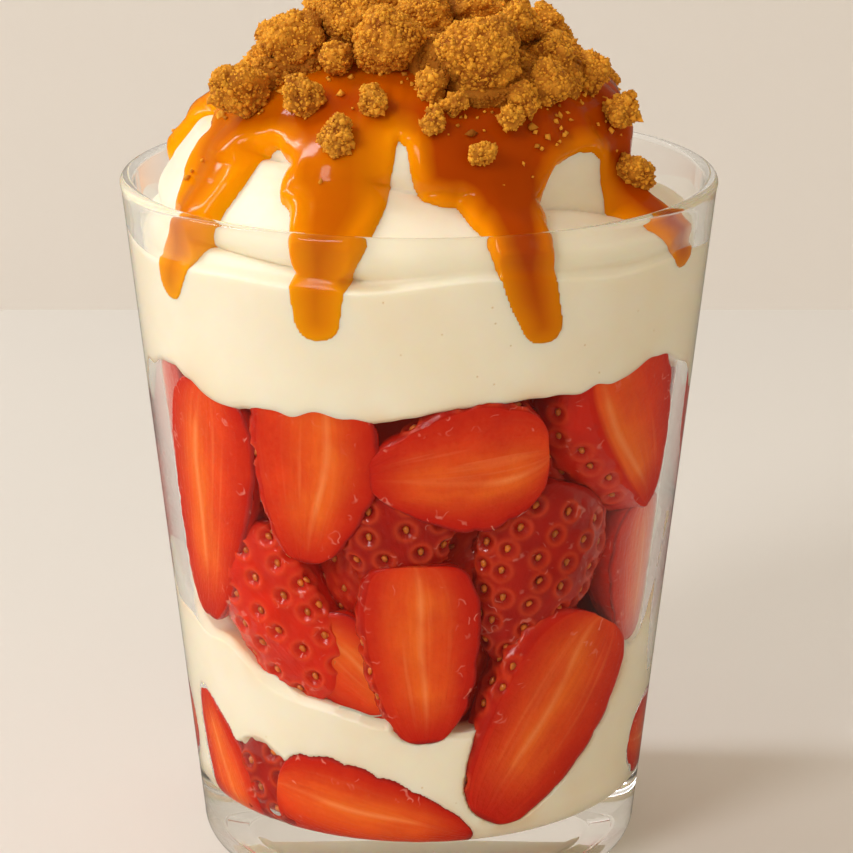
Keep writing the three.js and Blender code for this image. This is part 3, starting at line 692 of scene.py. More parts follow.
def lower_cream_shape():
    """Cream between the two layers of berries and round the lower ones."""
    degrees = np.arange(0, 360, 0.5)
    floor = tumbler().floor_height / MM - CREAM_REACH / 2
    ripple = 0.6 * soft_noise(polar(degrees, 40, 35), 4.5, 41)
    edge = lower_cream_top(degrees, 1) + ripple
    rows = []
    for share in np.linspace(0.1, 0.95, 6):
        rows.append(polar(degrees, share * inside_radius(floor), floor + 0 * degrees))
    for up in np.linspace(0, 1, 90):
        z = floor + (edge - floor) * up**1.2
        rounding = 0.8 * smooth(1 - (edge - z) / 0.9)
        seat = berry_seats(degrees, z)
        rows.append(polar(degrees, inside_radius(z) + CREAM_REACH - np.maximum(rounding, seat), z))
    for share in np.linspace(0.97, 0.05, COVERED_ROWS):
        z = lower_cream_top(degrees, share) + ripple * share
        rows.append(polar(degrees, share * inner_radius(z), z))
    rings = np.array(rows)
    outside = -np.array([distance_inside(berry, degrees, rings[..., 2]) for berry in BERRIES]).max(axis=0)
    stain = juice_stain(rings, np.minimum(outside, edge - rings[..., 2]))
    stain[2 - COVERED_ROWS:] = SOAKED_AND_SHADED
    return closed_rings((0, 0, floor), rings, (0, 0, LOWER_CREAM_MIDDLE), stain=stain)


# Strawberries
def berry_outline(u, blunt):
    """Half width of a strawberry, from 0 at the stalk end to 1 at the tip."""
    return np.sin(np.pi * clamp(u) ** 0.62) ** blunt


def berry_salt(berry):
    return (berry.theta * 0.37 + berry.z * 0.11) % 10


def berry_reach(berry):
    """How far a berry presses into the wall. Where two meet, the first in the list lies in front."""
    order = BERRIES.index(berry) if berry in BERRIES else len(BERRIES)
    return BERRY_REACH - 0.008 * min(order, 16)


def half_width(berry, u, across):
    """Half width of a berry, a little uneven along its sides. across is -1 at one side and 1 at the
    other."""
    along = u * berry.length + 40 * berry_salt(berry)
    place = np.stack(np.broadcast_arrays(along, 9 * np.sign(across), 0), -1)
    uneven = 0.09 * soft_noise(place, 9, 3) + 0.02 * soft_noise(place, 2.6, 4)
    plump = SWELL * berry.width / 2 * (1 + uneven * np.abs(across))
    scallop = np.abs(np.sin(np.pi * (along + 2 * np.sign(across)) / SEED_SPACING)) ** 0.6 - 0.8
    depth = SCALLOP * (0.6 + soft_noise(place, 5, 6))
    return berry_outline(u, berry.blunt) * (plump + depth * scallop * np.abs(across) ** 3)


def skirt_share(berry, across):
    """How far round the skin side of a half berry a point lies, from 0 on its cut face to 1."""
    if not berry.skirt:
        return 0 * across
    wide = 2 * abs(berry.skirt)
    return clamp((-across * np.sign(berry.skirt) - 1 + wide) / wide)


def berry_points(berry, u, around):
    """Points of a berry's surface, shaped round the wall. around is 0 to pi on the side away from the
    wall, and pi to two pi on the side that faces it."""
    depth = berry.width * (WHOLE_DEPTH if berry.whole else HALF_DEPTH)
    turn = berry.turn * DEGREE
    outline = berry_outline(u, berry.blunt)
    cosine, sine = np.cos(around), np.sin(around)
    side = cosine * half_width(berry, u, cosine)
    reach = berry_reach(berry)
    if berry.whole:
        front = depth * berry.rounding
        waist = berry.setback - reach + front
        deep = waist + np.where(sine > 0, depth - front, front) * outline * sine
    else:
        fold = 1.2 * abs(berry.skirt) * berry.width * outline
        folded = fold * (1 - np.sqrt(1 - skirt_share(berry, cosine) ** 2))
        edge = fold * (cosine * berry.skirt < 0)
        waist = berry.setback - reach + CUT_ROUNDING
        flat = CUT_ROUNDING * (1 - np.abs(cosine) ** 9) * clamp(3 * outline)
        deep = waist + np.where(sine > 0, edge + (depth * outline - edge) * sine, folded - flat)
    along = (u - 0.5) * berry.length * SWELL
    across = along * np.sin(turn) + side * np.cos(turn)
    z = berry.z - along * np.cos(turn) + side * np.sin(turn)
    degrees = berry.theta + across / inner_radius(berry.z) / DEGREE
    return seat_in_tumbler(polar(degrees, inner_radius(z) - deep, z), reach - berry.setback)


def distance_inside(berry, degrees, z):
    """Distance from a berry's outline, seen from outside the wall. It is below 0 outside the berry."""
    turn = berry.turn * DEGREE
    across = (np.mod(degrees - berry.theta + 180, 360) - 180) * DEGREE * inner_radius(berry.z)
    down = berry.z - z
    along = across * np.sin(turn) + down * np.cos(turn)
    side = across * np.cos(turn) - down * np.sin(turn)
    length = berry.length * SWELL
    u = along / length + 0.5
    made = np.full(u.shape, -9.0)
    near = np.hypot(along, side) < berry.length / 2 + 4
    steps = np.linspace(0, 1, 70)
    apart = np.full(near.sum(), 9.0)
    for across_side in (-1, 1):
        for step, half in zip(steps, half_width(berry, steps, across_side)):
            gap = np.hypot(along[near] - (step - 0.5) * length, side[near] - across_side * half)
            apart = np.minimum(apart, gap)
    inside = np.abs(side[near]) < half_width(berry, clamp(u[near]), np.sign(side[near]))
    made[near] = np.where(inside & (np.abs(u[near] - 0.5) < 0.5), apart, -apart)
    return made


def berry_seats(degrees, z):
    """How far cream gives way to the berries that lie in it at the wall."""
    seat = np.zeros(np.broadcast(degrees, z).shape)
    degrees, z = np.broadcast_arrays(degrees, z)
    for berry in BERRIES:
        if berry.z > UPPER_LAYER:
            continue
        inside = distance_inside(berry, degrees, z)
        if berry.whole:
            seat = np.maximum(seat, clamp(0.55 * (inside + 0.2), 0, 6))
        else:
            seat = np.maximum(seat, clamp(1.6 * (inside + 0.12), 0, 1.8))
    return seat


def seed_spots(berry):
    """Lengthwise share and angle of each seed, in staggered rows on the skin."""
    rows = max(4, round(berry.length / (SEED_SPACING * 0.86)))
    spots = []
    for row in range(rows):
        u = 0.07 + 0.88 * (row + 0.5) / rows
        girth = math.pi * 0.92 * berry.width * float(berry_outline(u, berry.blunt))
        count = max(3, round(girth / SEED_SPACING))
        for k in range(count):
            angle = 2 * math.pi * (k + 0.5 * (row % 2) + 0.3 * scatter(k, row)) / count
            u_here = u + 0.016 * (scatter(k + 7, row) - 0.5)
            behind = 0.05 * math.pi < angle % (2 * math.pi) < 0.95 * math.pi
            if berry.whole or behind or skirt_share(berry, math.cos(angle)) > 0.3:
                spots.append((u_here, angle))
    return np.array(spots)


def berry_shapes(berry, rows, columns):
    """A berry with dimples, and its seeds."""
    u = (0.5 - 0.5 * np.cos(np.pi * np.arange(1, rows) / rows))[:, None]
    around = (2 * np.pi * np.arange(columns) / columns)[None, :]
    rings = berry_points(berry, u, around)
    normals = ring_normals(rings)
    spots = seed_spots(berry)
    seeds = berry_points(berry, spots[:, :1], spots[:, 1:])[:, 0]
    seeds = seeds[seeds[:, 2] > tumbler().floor_height / MM + 1.5]
    flat = rings.reshape(-1, 3)
    nearest = np.full(len(flat), 1e9)
    which = np.zeros(len(flat), int)
    for i, seed in enumerate(seeds):
        distance = np.linalg.norm(flat - seed, axis=1)
        which = np.where(distance < nearest, i, which)
        nearest = np.minimum(nearest, distance)
    dimple = np.exp(-((nearest / DIMPLE_RADIUS) ** 2)).reshape(rings.shape[:2])
    lip = np.exp(-(((nearest - LIP_RADIUS) / LIP_WIDTH) ** 2)).reshape(rings.shape[:2])
    skin = smooth((np.sin(around) + 0.03) / 0.08) + smooth(skirt_share(berry, np.cos(around)) / 0.15)
    skin = np.ones_like(dimple) if berry.whole else np.minimum(skin, 1) + 0 * u
    puff = 0.14 * soft_noise(rings, 2.6, 17) + 0.1 * soft_noise(rings, 1.1, 18)
    relief = (puff + DIMPLE_LIP * lip - DIMPLE_DEPTH * dimple) * skin
    rings = rings + normals * (relief + 0.07 * soft_noise(rings, 1.6, 19) * (1 - skin))[..., None]
    rings = seat_in_tumbler(rings, berry_reach(berry) - berry.setback)
    flesh = dict(
        along=u, across=np.cos(around), cut=1 - skin, dimple=dimple, lip=lip * skin, ripe=berry.ripe,
        salt=berry_salt(berry))
    first = rings[0].mean(axis=0)
    last = rings[-1].mean(axis=0)
    made = closed_rings(first, rings, last, **flesh)
    closest = np.array([np.argmin(np.linalg.norm(flat - seed, axis=1)) for seed in seeds])
    sides = normals.reshape(-1, 3)[closest]
    lengthwise = np.gradient(rings, axis=0).reshape(-1, 3)[closest]
    return made, seed_shape(seeds - sides * SEED_DEPTH, sides, lengthwise)


def seed_shape(centres, normals, lengthwise):
    """Seeds lying in their dimples, pointed along the berry."""
    points, faces = ball(1)
    wide, thick, long = SEED_AXES
    along = lengthwise / np.maximum(np.linalg.norm(lengthwise, axis=1, keepdims=True), 1e-9)
    across = np.cross(normals, along)
    taper = 1 - 0.3 * points[:, 2]
    placed = (
        centres[:, None]
        + across[:, None] * (points[:, 0] * wide * taper)[None, :, None]
        + normals[:, None] * (points[:, 1] * thick)[None, :, None]
        + along[:, None] * (points[:, 2] * long)[None, :, None]
    )
    offsets = np.arange(len(centres))[:, None, None] * len(points)
    return Shape(placed.reshape(-1, 3), [(faces[None] + offsets).reshape(-1, 3)])


def packed_berries():
    """Berries packed behind the ones at the wall."""
    made = []
    per_row = 11
    for row, up in enumerate((5.5, 20, 34)):
        for k in range(per_row):
            theta = 360 * (k + 0.5 * row) / per_row + 10 * scatter(k, 21 + row)
            z = round_curve(LOWER_CREAM_EDGE, theta) + up + 3 * scatter(k, 41 + row)
            made.append(Berry("packed", theta, min(z, 69), 360 * scatter(k, 31 + row), 23, 18, whole=True,
                              setback=3.2 + 1.5 * scatter(k, 51 + row), ripe=0.8, rounding=0.42))
    return made


def core_shape():
    """The mass of berries packed in the middle, between the two creams."""
    degrees = np.arange(0, 360, 2.0)
    low = lower_cream_top(degrees, 0.7) + CORE_GAP
    high = top_cream_bottom(degrees, 0.7) - CORE_GAP
    rows = []
    for share in np.linspace(0.1, 1, 12):
        z = lower_cream_top(degrees, 0.7 * share) + CORE_GAP
        rows.append(polar(degrees, CORE_SHARE * share * inner_radius(LOWER_CREAM_MIDDLE), z))
    for up in np.linspace(0.03, 0.97, 40):
        z = mix(low, high, up)
        lump = rough_noise(polar(degrees, 27, z), 11, 2, 61)
        rows.append(polar(degrees, CORE_SHARE * inner_radius(z) * (1 + 0.08 * lump), z))
    for share in np.linspace(1, 0.1, 12):
        z = top_cream_bottom(degrees, 0.7 * share) - CORE_GAP
        rows.append(polar(degrees, CORE_SHARE * share * inner_radius(TOP_CREAM_MIDDLE), z))
    rings = np.array(rows)
    values = dict(along=0.5, across=0.5, cut=0.0, dimple=0.0, lip=0.0, ripe=0.9, salt=4.0)
    foot = (0, 0, LOWER_CREAM_MIDDLE + CORE_GAP)
    return closed_rings(foot, rings, (0, 0, TOP_CREAM_MIDDLE - CORE_GAP), **values)


# Caramel, as a thickness over the cream
def profile_lengths():
    """Heights on the plain dome and the wall under it, with the distance down from the top."""
    base = DOME_PROFILE[-1][1]
    heights = np.concatenate([dome_height(np.linspace(0, 1, 400)), np.linspace(base, 82, 80)[1:]])
    radii = dome_profile(heights)[0]
    steps = np.hypot(np.diff(radii), np.diff(heights))
    return heights, np.concatenate([[0], np.cumsum(steps)])


def sheet_depth(degrees, down, radius, heights, lengths):
    """Distance in from the edge of the caramel's sheet, below 0 outside it."""
    nearest = np.full(down.shape, 99.0)
    turns = np.arange(-16, 16.1, 0.5)
    edges = [
        np.interp(-round_curve(CARAMEL_EDGE, degrees + turn), -heights, lengths) - down
        for turn in turns
    ]
    for start, end, turn in zip(edges[:-1], edges[1:], turns):
        begin, wide = turn * DEGREE * radius, 0.5 * DEGREE * radius
        rise = end - start
        along = clamp(-(begin * wide + start * rise) / (wide**2 + rise**2))
        nearest = np.minimum(nearest, np.hypot(begin + along * wide, start + along * rise))
    return np.sign(edges[len(turns) // 2]) * nearest


def caramel_depth(degrees, down, heights, lengths):
    """Distance in from the caramel's edge, and how near the middle of a drip a point is."""
    radius = np.maximum(dome_profile(np.interp(down, lengths, heights))[0], 1)
    sheet = sheet_depth(degrees, down, radius, heights, lengths)
    total = np.exp(sheet)
    ridge = np.zeros_like(sheet)
    for drip in DRIPS:
        inside = np.full(sheet.shape, -30.0)
        path = catmull_rom(drip, 40)
        path[:, 1] += path[:, 2] * np.linspace(0, 1, len(path)) ** 2
        for angle, height, half in path:
            across = (np.mod(degrees - angle + 180, 360) - 180) * DEGREE * radius
            apart = np.hypot(across, down - np.interp(-height, -heights, lengths))
            inside = np.maximum(inside, half - apart)
            ridge = np.maximum(ridge, np.exp(-((apart / (0.8 * half)) ** 2)))
        total = total + np.exp(clamp(inside, -30, 8))
    return np.log(np.maximum(total, 1e-9)), ridge


def caramel_lift(degrees, height, depth, ridge):
    """Thickness of the caramel, rounded off like a bead at its edge and below the cream outside it."""
    place = polar(degrees, 40, height)
    thick = filling().caramel_thickness / MM * (0.8 + 0.35 * soft_noise(place, 11, 71)) + ridge
    bead = np.sqrt(clamp(1 - (1 - clamp(depth / 1.9)) ** 2))
    run = np.stack([degrees * DEGREE * 36, 0.22 * height, 0 * height], axis=-1)
    thick = thick + 0.3 + 0.5 * soft_noise(run, 4.6, 74) + 0.08 * soft_noise(run, 1.9, 75)
    return np.where(depth > 0, thick * bead, np.maximum(1.1 * depth, -0.8))


def caramel_shape():
    """The sheet of caramel and its drips, closed underneath."""
    heights, lengths = profile_lengths()
    columns = 720
    degrees = (np.arange(columns) * 360 / columns)[None, :]
    down = np.concatenate([np.arange(1, 20, 0.9), np.arange(20, lengths[-1], 0.36)])[:, None]
    degrees, down = np.broadcast_arrays(degrees, down)
    height = np.interp(down, lengths, heights)
    depth, ridge = caramel_depth(degrees, down, heights, lengths)
    depth = depth + 0.35 * soft_noise(polar(degrees, 40, height), 4, 73)
    lift = caramel_lift(degrees, height, depth, ridge)
    crease = 1 - smooth(depth / 3.2)
    radius, out, over = dome_profile(height)
    push = lift + dome_lean(degrees, height) + crease * coil_offset(degrees, height)
    away = smooth((height - contact_height(degrees)) / 1.5)
    far = mix(inner_radius(height) + TOP_CREAM_REACH + clamp(lift, -0.8, 0.3), radius + out * push, away)
    top = height + over * push * away
    free = smooth((height - contact_height(degrees) - 0.2) / 1.6)
    limit = inner_radius(top) + mix(CARAMEL_REACH, -0.35, free)
    outer = polar(degrees, np.minimum(far, limit), top)
    under = polar(degrees, *on_cream(degrees, height, -0.9))
    used = depth > -0.75
    quads = ring_faces(*depth.shape)[:, ::-1]
    kept = quads[used.ravel()[quads].all(axis=1)]
    edges = np.concatenate([kept[:, [i, (i + 1) % 4]] for i in range(4)])
    backwards = set(map(tuple, edges[:, ::-1].tolist()))
    border = np.array([edge for edge in edges.tolist() if tuple(edge) not in backwards])
    count = depth.size
    walls = np.stack([border[:, 1], border[:, 0], border[:, 0] + count, border[:, 1] + count], axis=-1)
    faces = np.concatenate([kept, kept[:, ::-1] + count, walls])
    points = np.concatenate([outer.reshape(-1, 3), under.reshape(-1, 3)])
    used_points, faces = np.unique(faces, return_inverse=True)
    faces = faces.reshape(-1, 4)
    body = np.tile(np.stack([depth.ravel(), ridge.ravel()], axis=-1), (2, 1))[used_points]
    return Shape(points[used_points], [faces], depth=body[:, 0], ridge=body[:, 1])


# Biscuit crumble
def filler_chunks():
    """Chunks that fill the heap where none is listed."""
    chunks = []
    thickness = filling().caramel_thickness / MM
    for i in range(FILLER_CHUNKS):
        angle = i * GOLDEN_ANGLE % 360
        out = FILLER_REACH * math.sqrt((i + 0.5) / FILLER_CHUNKS)
        radius = mix(5.4, 3.4, out / FILLER_REACH) * mix(0.85, 1.15, scatter(i, 3))
        far, z = (float(x) for x in heap_spot(out, thickness + radius * 0.8))
        centre = polar(angle, far, z)
        taken = any(
            np.linalg.norm(polar(a, r, height) - centre) < 0.85 * (size + radius)
            for a, r, height, size in FRONT_CHUNKS
        )
        if not taken and out < round_curve(HEAP_EDGE, np.array(angle)) - FILLER_MARGIN:
            chunks.append((angle, far, z, radius))
    return chunks


def chunk_shape(centre, radius, salt, level):
    """A craggy broken chunk of biscuit."""
    points, faces = ball(level)
    rng = np.random.default_rng(1000 + salt)
    points = points @ random_turns(1, rng)[0]
    reach = 1.02 + 0.2 * rough_noise(points + salt, 0.8, 2, 81)
    softened = np.exp(-12 * reach)
    for facing in rng.normal(size=(11, 3)):
        facing /= np.linalg.norm(facing)
        towards = np.maximum(points @ facing, 0.15)
        softened += np.exp(-12 * rng.uniform(0.62, 0.98) / towards)
    reach = -np.log(softened) / 12
    place = points * radius * reach[:, None] + salt * 7
    clumps = 0.5 - grain_noise(place + 0.5 * rough_noise(place, 1.5, 2, 86)[:, None], 2.4, 84)
    grains = 0.5 - grain_noise(place, 0.95, 85)
    sand = 0.5 - grain_noise(place, 0.45, 87)
    height = clumps + 0.42 * grains + 0.16 * sand
    placed = centre + points * (radius * reach + height)[:, None]
    # painted shade: the tone falls in the crevices between the clumps and grains
    return Shape(placed, [faces], tone=clamp(0.36 + clumps + 0.6 * grains + 0.3 * sand))


def openness(points, others):
    """Painted shade: 1 in the open, falling to 0.25 in the gaps next to the other chunks."""
    share = np.ones(len(points))
    for centre, radius in others:
        apart = np.linalg.norm(points - centre, axis=1) - radius
        share *= mix(0.25, 1, smooth((apart + 0.4) / 1.8))
    return np.maximum(share, 0.1)


def grain_shape(centres, rng, size, shade=1.0):
    """Uneven eight-sided grains of biscuit at the given centres."""
    corners = np.array([(1, 0, 0), (-1, 0, 0), (0, 1, 0), (0, -1, 0), (0, 0, 1), (0, 0, -1)], float)
    sides = np.array([
        (0, 2, 4), (2, 1, 4), (1, 3, 4), (3, 0, 4), (2, 0, 5), (1, 2, 5), (3, 1, 5), (0, 3, 5)])
    count = len(centres)
    stretch = rng.uniform(0.55, 1.45, size=(count, len(corners), 1))
    scale = size * rng.lognormal(0, 0.33, size=(count, 1, 1))
    turned = np.einsum("kj,njl->nkl", corners, random_turns(count, rng))
    placed = centres[:, None] + turned * stretch * scale
    offsets = np.arange(count)[:, None, None] * len(corners)
    tone = np.repeat(clamp(rng.normal(0.82, 0.27, count)) * shade, len(corners))
    return Shape(placed.reshape(-1, 3), [(sides[None] + offsets).reshape(-1, 3)], tone=tone)


def surface_spots(shape, density, rng):
    """Random spots spread evenly over a shape's triangles, with their normals."""
    faces = shape.faces[0]
    a, b, c = (shape.points[faces[:, k]] for k in range(3))
    normals = np.cross(b - a, c - a)
    areas = np.linalg.norm(normals, axis=1) / 2
    count = int(areas.sum() * density)
    picked = rng.choice(len(faces), count, p=areas / areas.sum())
    s, t = np.sqrt(rng.random(count)), rng.random(count)
    weights = np.stack([1 - s, s * (1 - t), s * t])[..., None]
    spots = weights[0] * a[picked] + weights[1] * b[picked] + weights[2] * c[picked]
    return spots, normals[picked] / np.maximum(2 * areas[picked], 1e-9)[:, None]


def outside_chunks(spots, chunks, share=0.86):
    """True for the spots that lie in none of the chunks."""
    clear = np.ones(len(spots), bool)
    for centre, radius in chunks:
        clear &= np.linalg.norm(spots - centre, axis=1) > share * radius
    return clear


def bed_shape():
    """The bed of fine crumbs that the heaped chunks stand in."""
    degrees = np.arange(0, 360, 2.0)
    reach = round_curve(HEAP_EDGE, degrees) + 1.2 * soft_noise(polar(degrees, 26, 0), 3.5, 91)
    thickness = filling().caramel_thickness / MM
    upper = thickness + filling().heap_depth / MM
    rows = []
    for share in np.linspace(0.1, 1, 10):
        rows.append(polar(degrees, *heap_spot(reach * share, 0.6)))
    for share in np.linspace(1, 0.02, 46):
        rim = np.sqrt(clamp(1 - clamp((share - 0.84) / 0.16) ** 2))
        far, z = heap_spot(reach * share, 0)
        bump = rough_noise(polar(degrees, far, z), 3.2, 3, 93)
        lift = mix(0.8, upper + bump, rim)
        rows.append(polar(degrees, *heap_spot(reach * share, lift)))
    top = (0, 0, DOME_TOP + upper)
    return closed_rings((0, 0, DOME_TOP + 0.6), np.array(rows), top, tone=BED_PAINTED_SHADE)


# Node helpers for the finishes
def add_node(tree, kind, inputs=None, **settings):
    """A node with its settings, and its inputs linked or set by name or number."""
    node = tree.nodes.new(kind)
    for name, value in settings.items():
        setattr(node, name, value)
    for key, value in (inputs or {}).items():
        if isinstance(value, bpy.types.NodeSocket):
            tree.links.new(value, node.inputs[key])
        else:
            node.inputs[key].default_value = value
    return node


def value_at_points(tree, name):
    return add_node(tree, "ShaderNodeAttribute", attribute_name=name).outputs["Fac"]


def remap(tree, value, low, high, to_low=0.0, to_high=1.0):
    """A value taken from one range to another, and kept in it."""
    inputs = {"Value": value, "From Min": low, "From Max": high, "To Min": to_low, "To Max": to_high}
    return add_node(tree, "ShaderNodeMapRange", inputs, clamp=True).outputs["Result"]


def maths(tree, operation, first, second=0.0):
    return add_node(tree, "ShaderNodeMath", {0: first, 1: second}, operation=operation).outputs[0]


def colour_mix(tree, share, first, second, blend_type="MIX"):
    """Two colours mixed by a share."""
    node = add_node(tree, "ShaderNodeMix", data_type="RGBA", blend_type=blend_type)
    for socket, value in ((node.inputs[0], share), (node.inputs[6], first), (node.inputs[7], second)):
        if isinstance(value, bpy.types.NodeSocket):
            tree.links.new(value, socket)
        else:
            socket.default_value = value
    return node.outputs[2]


def rgba(colour, level=1.0):
    return (colour[0] * level, colour[1] * level, colour[2] * level, 1)


def new_group(name, inputs, outputs):
    """A shader node group with named inputs and outputs."""
    tree = bpy.data.node_groups.new(name, "ShaderNodeTree")
    for label, kind, default in inputs:
        socket = tree.interface.new_socket(label, in_out="INPUT", socket_type=kind)
        if default is not None:
            socket.default_value = default
    for label, kind in outputs:
        tree.interface.new_socket(label, in_out="OUTPUT", socket_type=kind)
    return tree, tree.nodes.new("NodeGroupInput").outputs, tree.nodes.new("NodeGroupOutput").inputs


def mottle_group():
    """Cloudy patches from 0 to 1, of a given size in millimetres."""
    if "cloudy_patches" in bpy.data.node_groups:
        return bpy.data.node_groups["cloudy_patches"]
    inputs = (("Size", "NodeSocketFloat", 5.0), ("Detail", "NodeSocketFloat", 2.0),
              ("Contrast", "NodeSocketFloat", 0.5))
    tree, given, made = new_group("cloudy_patches", inputs, (("Patches", "NodeSocketFloat"),))
    place = add_node(tree, "ShaderNodeTexCoord").outputs["Object"]
    scale = maths(tree, "DIVIDE", 1 / MM, given["Size"])
    inputs = {"Vector": place, "Scale": scale, "Detail": given["Detail"]}
    noise = add_node(tree, "ShaderNodeTexNoise", inputs)
    half = maths(tree, "MULTIPLY", given["Contrast"], 0.5)
    low = maths(tree, "SUBTRACT", 0.5, half)
    high = maths(tree, "ADD", 0.5, half)
    tree.links.new(remap(tree, noise.outputs["Fac"], low, high), made["Patches"])
    return tree


def speck_group():
    """Small round specks, 1 in their middles, scattered at a given spacing in millimetres."""
    if "scattered_specks" in bpy.data.node_groups:
        return bpy.data.node_groups["scattered_specks"]
    inputs = (("Spacing", "NodeSocketFloat", 3.0), ("Radius", "NodeSocketFloat", 0.15),
              ("Share", "NodeSocketFloat", 0.4))
    tree, given, made = new_group("scattered_specks", inputs, (("Specks", "NodeSocketFloat"),))
    place = add_node(tree, "ShaderNodeTexCoord").outputs["Object"]
    scale = maths(tree, "DIVIDE", 1 / MM, given["Spacing"])
    cells = add_node(tree, "ShaderNodeTexVoronoi", {"Vector": place, "Scale": scale})
    reach = maths(tree, "DIVIDE", given["Radius"], given["Spacing"])
    near = remap(tree, cells.outputs["Distance"], maths(tree, "MULTIPLY", reach, 0.4), reach, 1.0, 0.0)
    chance = add_node(tree, "ShaderNodeSeparateColor", {0: cells.outputs["Color"]}).outputs[0]
    chosen = maths(tree, "LESS_THAN", chance, given["Share"])
    tree.links.new(maths(tree, "MULTIPLY", near, chosen), made["Specks"])
    return tree


def squiggle_group():
    """Thin winding lines, 1 in their middles, in some places and not in others."""
    if "winding_lines" in bpy.data.node_groups:
        return bpy.data.node_groups["winding_lines"]
    inputs = (("Size", "NodeSocketFloat", 2.0), ("Width", "NodeSocketFloat", 0.03),
              ("Share", "NodeSocketFloat", 0.4))
    tree, given, made = new_group("winding_lines", inputs, (("Lines", "NodeSocketFloat"),))
    place = add_node(tree, "ShaderNodeTexCoord").outputs["Object"]
    scale = maths(tree, "DIVIDE", 1 / MM, given["Size"])
    bends = add_node(tree, "ShaderNodeTexNoise", {"Vector": place, "Scale": scale, "Detail": 1.0})
    off_line = maths(tree, "ABSOLUTE", maths(tree, "SUBTRACT", bends.outputs["Fac"], 0.5))
    line = remap(tree, off_line, maths(tree, "MULTIPLY", given["Width"], 0.3), given["Width"], 1.0, 0.0)
    spread = maths(tree, "MULTIPLY", scale, 0.8)
    inputs = {"Vector": place, "Scale": spread, "Detail": 1.0, "W": 3.0}
    chance = add_node(tree, "ShaderNodeTexNoise", inputs, noise_dimensions="4D").outputs["Fac"]
    most = maths(tree, "ADD", given["Share"], 0.06)
    chosen = remap(tree, chance, given["Share"], most, 1.0, 0.0)
    tree.links.new(maths(tree, "MULTIPLY", line, chosen), made["Lines"])
    return tree


def grouped(tree, group, **values):
    """A node group placed in a material with its own values, and its first output."""
    node = tree.nodes.new("ShaderNodeGroup")
    node.node_tree = group
    for name, value in values.items():
        node.inputs[name].default_value = value
    return node.outputs[0]


def new_finish(name):
    """A new material with its node tree and its Principled shader."""
    finish = bpy.data.materials.new(name)
    finish.use_nodes = True
    tree = finish.node_tree
    return finish, tree, principled(tree)


def principled(tree):
    return next(node for node in tree.nodes if node.type == "BSDF_PRINCIPLED")


def set_surface(tree, surface):
    """A material's output linked to a shader."""
    output = next(node for node in tree.nodes if node.type == "OUTPUT_MATERIAL")
    tree.links.new(surface.outputs[0], output.inputs["Surface"])


def set_sockets(shader, values):
    for name, value in values.items():
        shader.inputs[name].default_value = value


def colours():
    return bpy.context.scene.dessert_colours


def finish_once(name, build):
    """A finish by name, built the first time it is asked for."""
    return bpy.data.materials.get(name) or build(name)


def dim_in_gloss(tree):
    """How dim the surroundings look in a glossy reflection, from 0 to 1: fully where it is seen directly,
    and through glass fully on the camera's side and hardly behind the tumbler."""
    light = add_node(tree, "ShaderNodeLightPath").outputs
    glossy = maths(tree, "GREATER_THAN", light["Glossy Depth"], 0.5)
    glossy = maths(tree, "MULTIPLY", glossy, maths(tree, "LESS_THAN", light["Diffuse Depth"], 0.5))
    direct = maths(tree, "LESS_THAN", light["Transmission Depth"], 0.5)
    place = add_node(tree, "ShaderNodeTexCoord").outputs["Object"]
    back = add_node(tree, "ShaderNodeSeparateXYZ", {0: place}).outputs["Y"]
    share = maths(tree, "MAXIMUM", direct, remap(tree, back, -0.06, 0.02, 1.0, 0.1))
    return maths(tree, "MULTIPLY", glossy, share)


def glass_finish(name):
    """Clear glass that lets lamps through to the food behind it."""
    finish, tree, shader = new_finish(name)
    set_sockets(shader, {
        "Base Color": (0.985, 0.992, 0.985, 1), "Roughness": 0.0, "IOR": 1.25,
        "Transmission Weight": 1.0, "Metallic": 0.0, "Specular IOR Level": 0.2,
    })
    light = add_node(tree, "ShaderNodeLightPath").outputs
    clear = add_node(tree, "ShaderNodeBsdfTransparent", {"Color": (0.97, 0.975, 0.965, 1)})
    share = maths(tree, "MAXIMUM", light["Is Shadow Ray"], light["Is Diffuse Ray"])
    share = maths(tree, "MAXIMUM", share, maths(tree, "GREATER_THAN", light["Glossy Depth"], 1.5))
    mixed = add_node(tree, "ShaderNodeMixShader", {0: share, 1: shader.outputs[0], 2: clear.outputs[0]})
    set_surface(tree, mixed)
    return finish


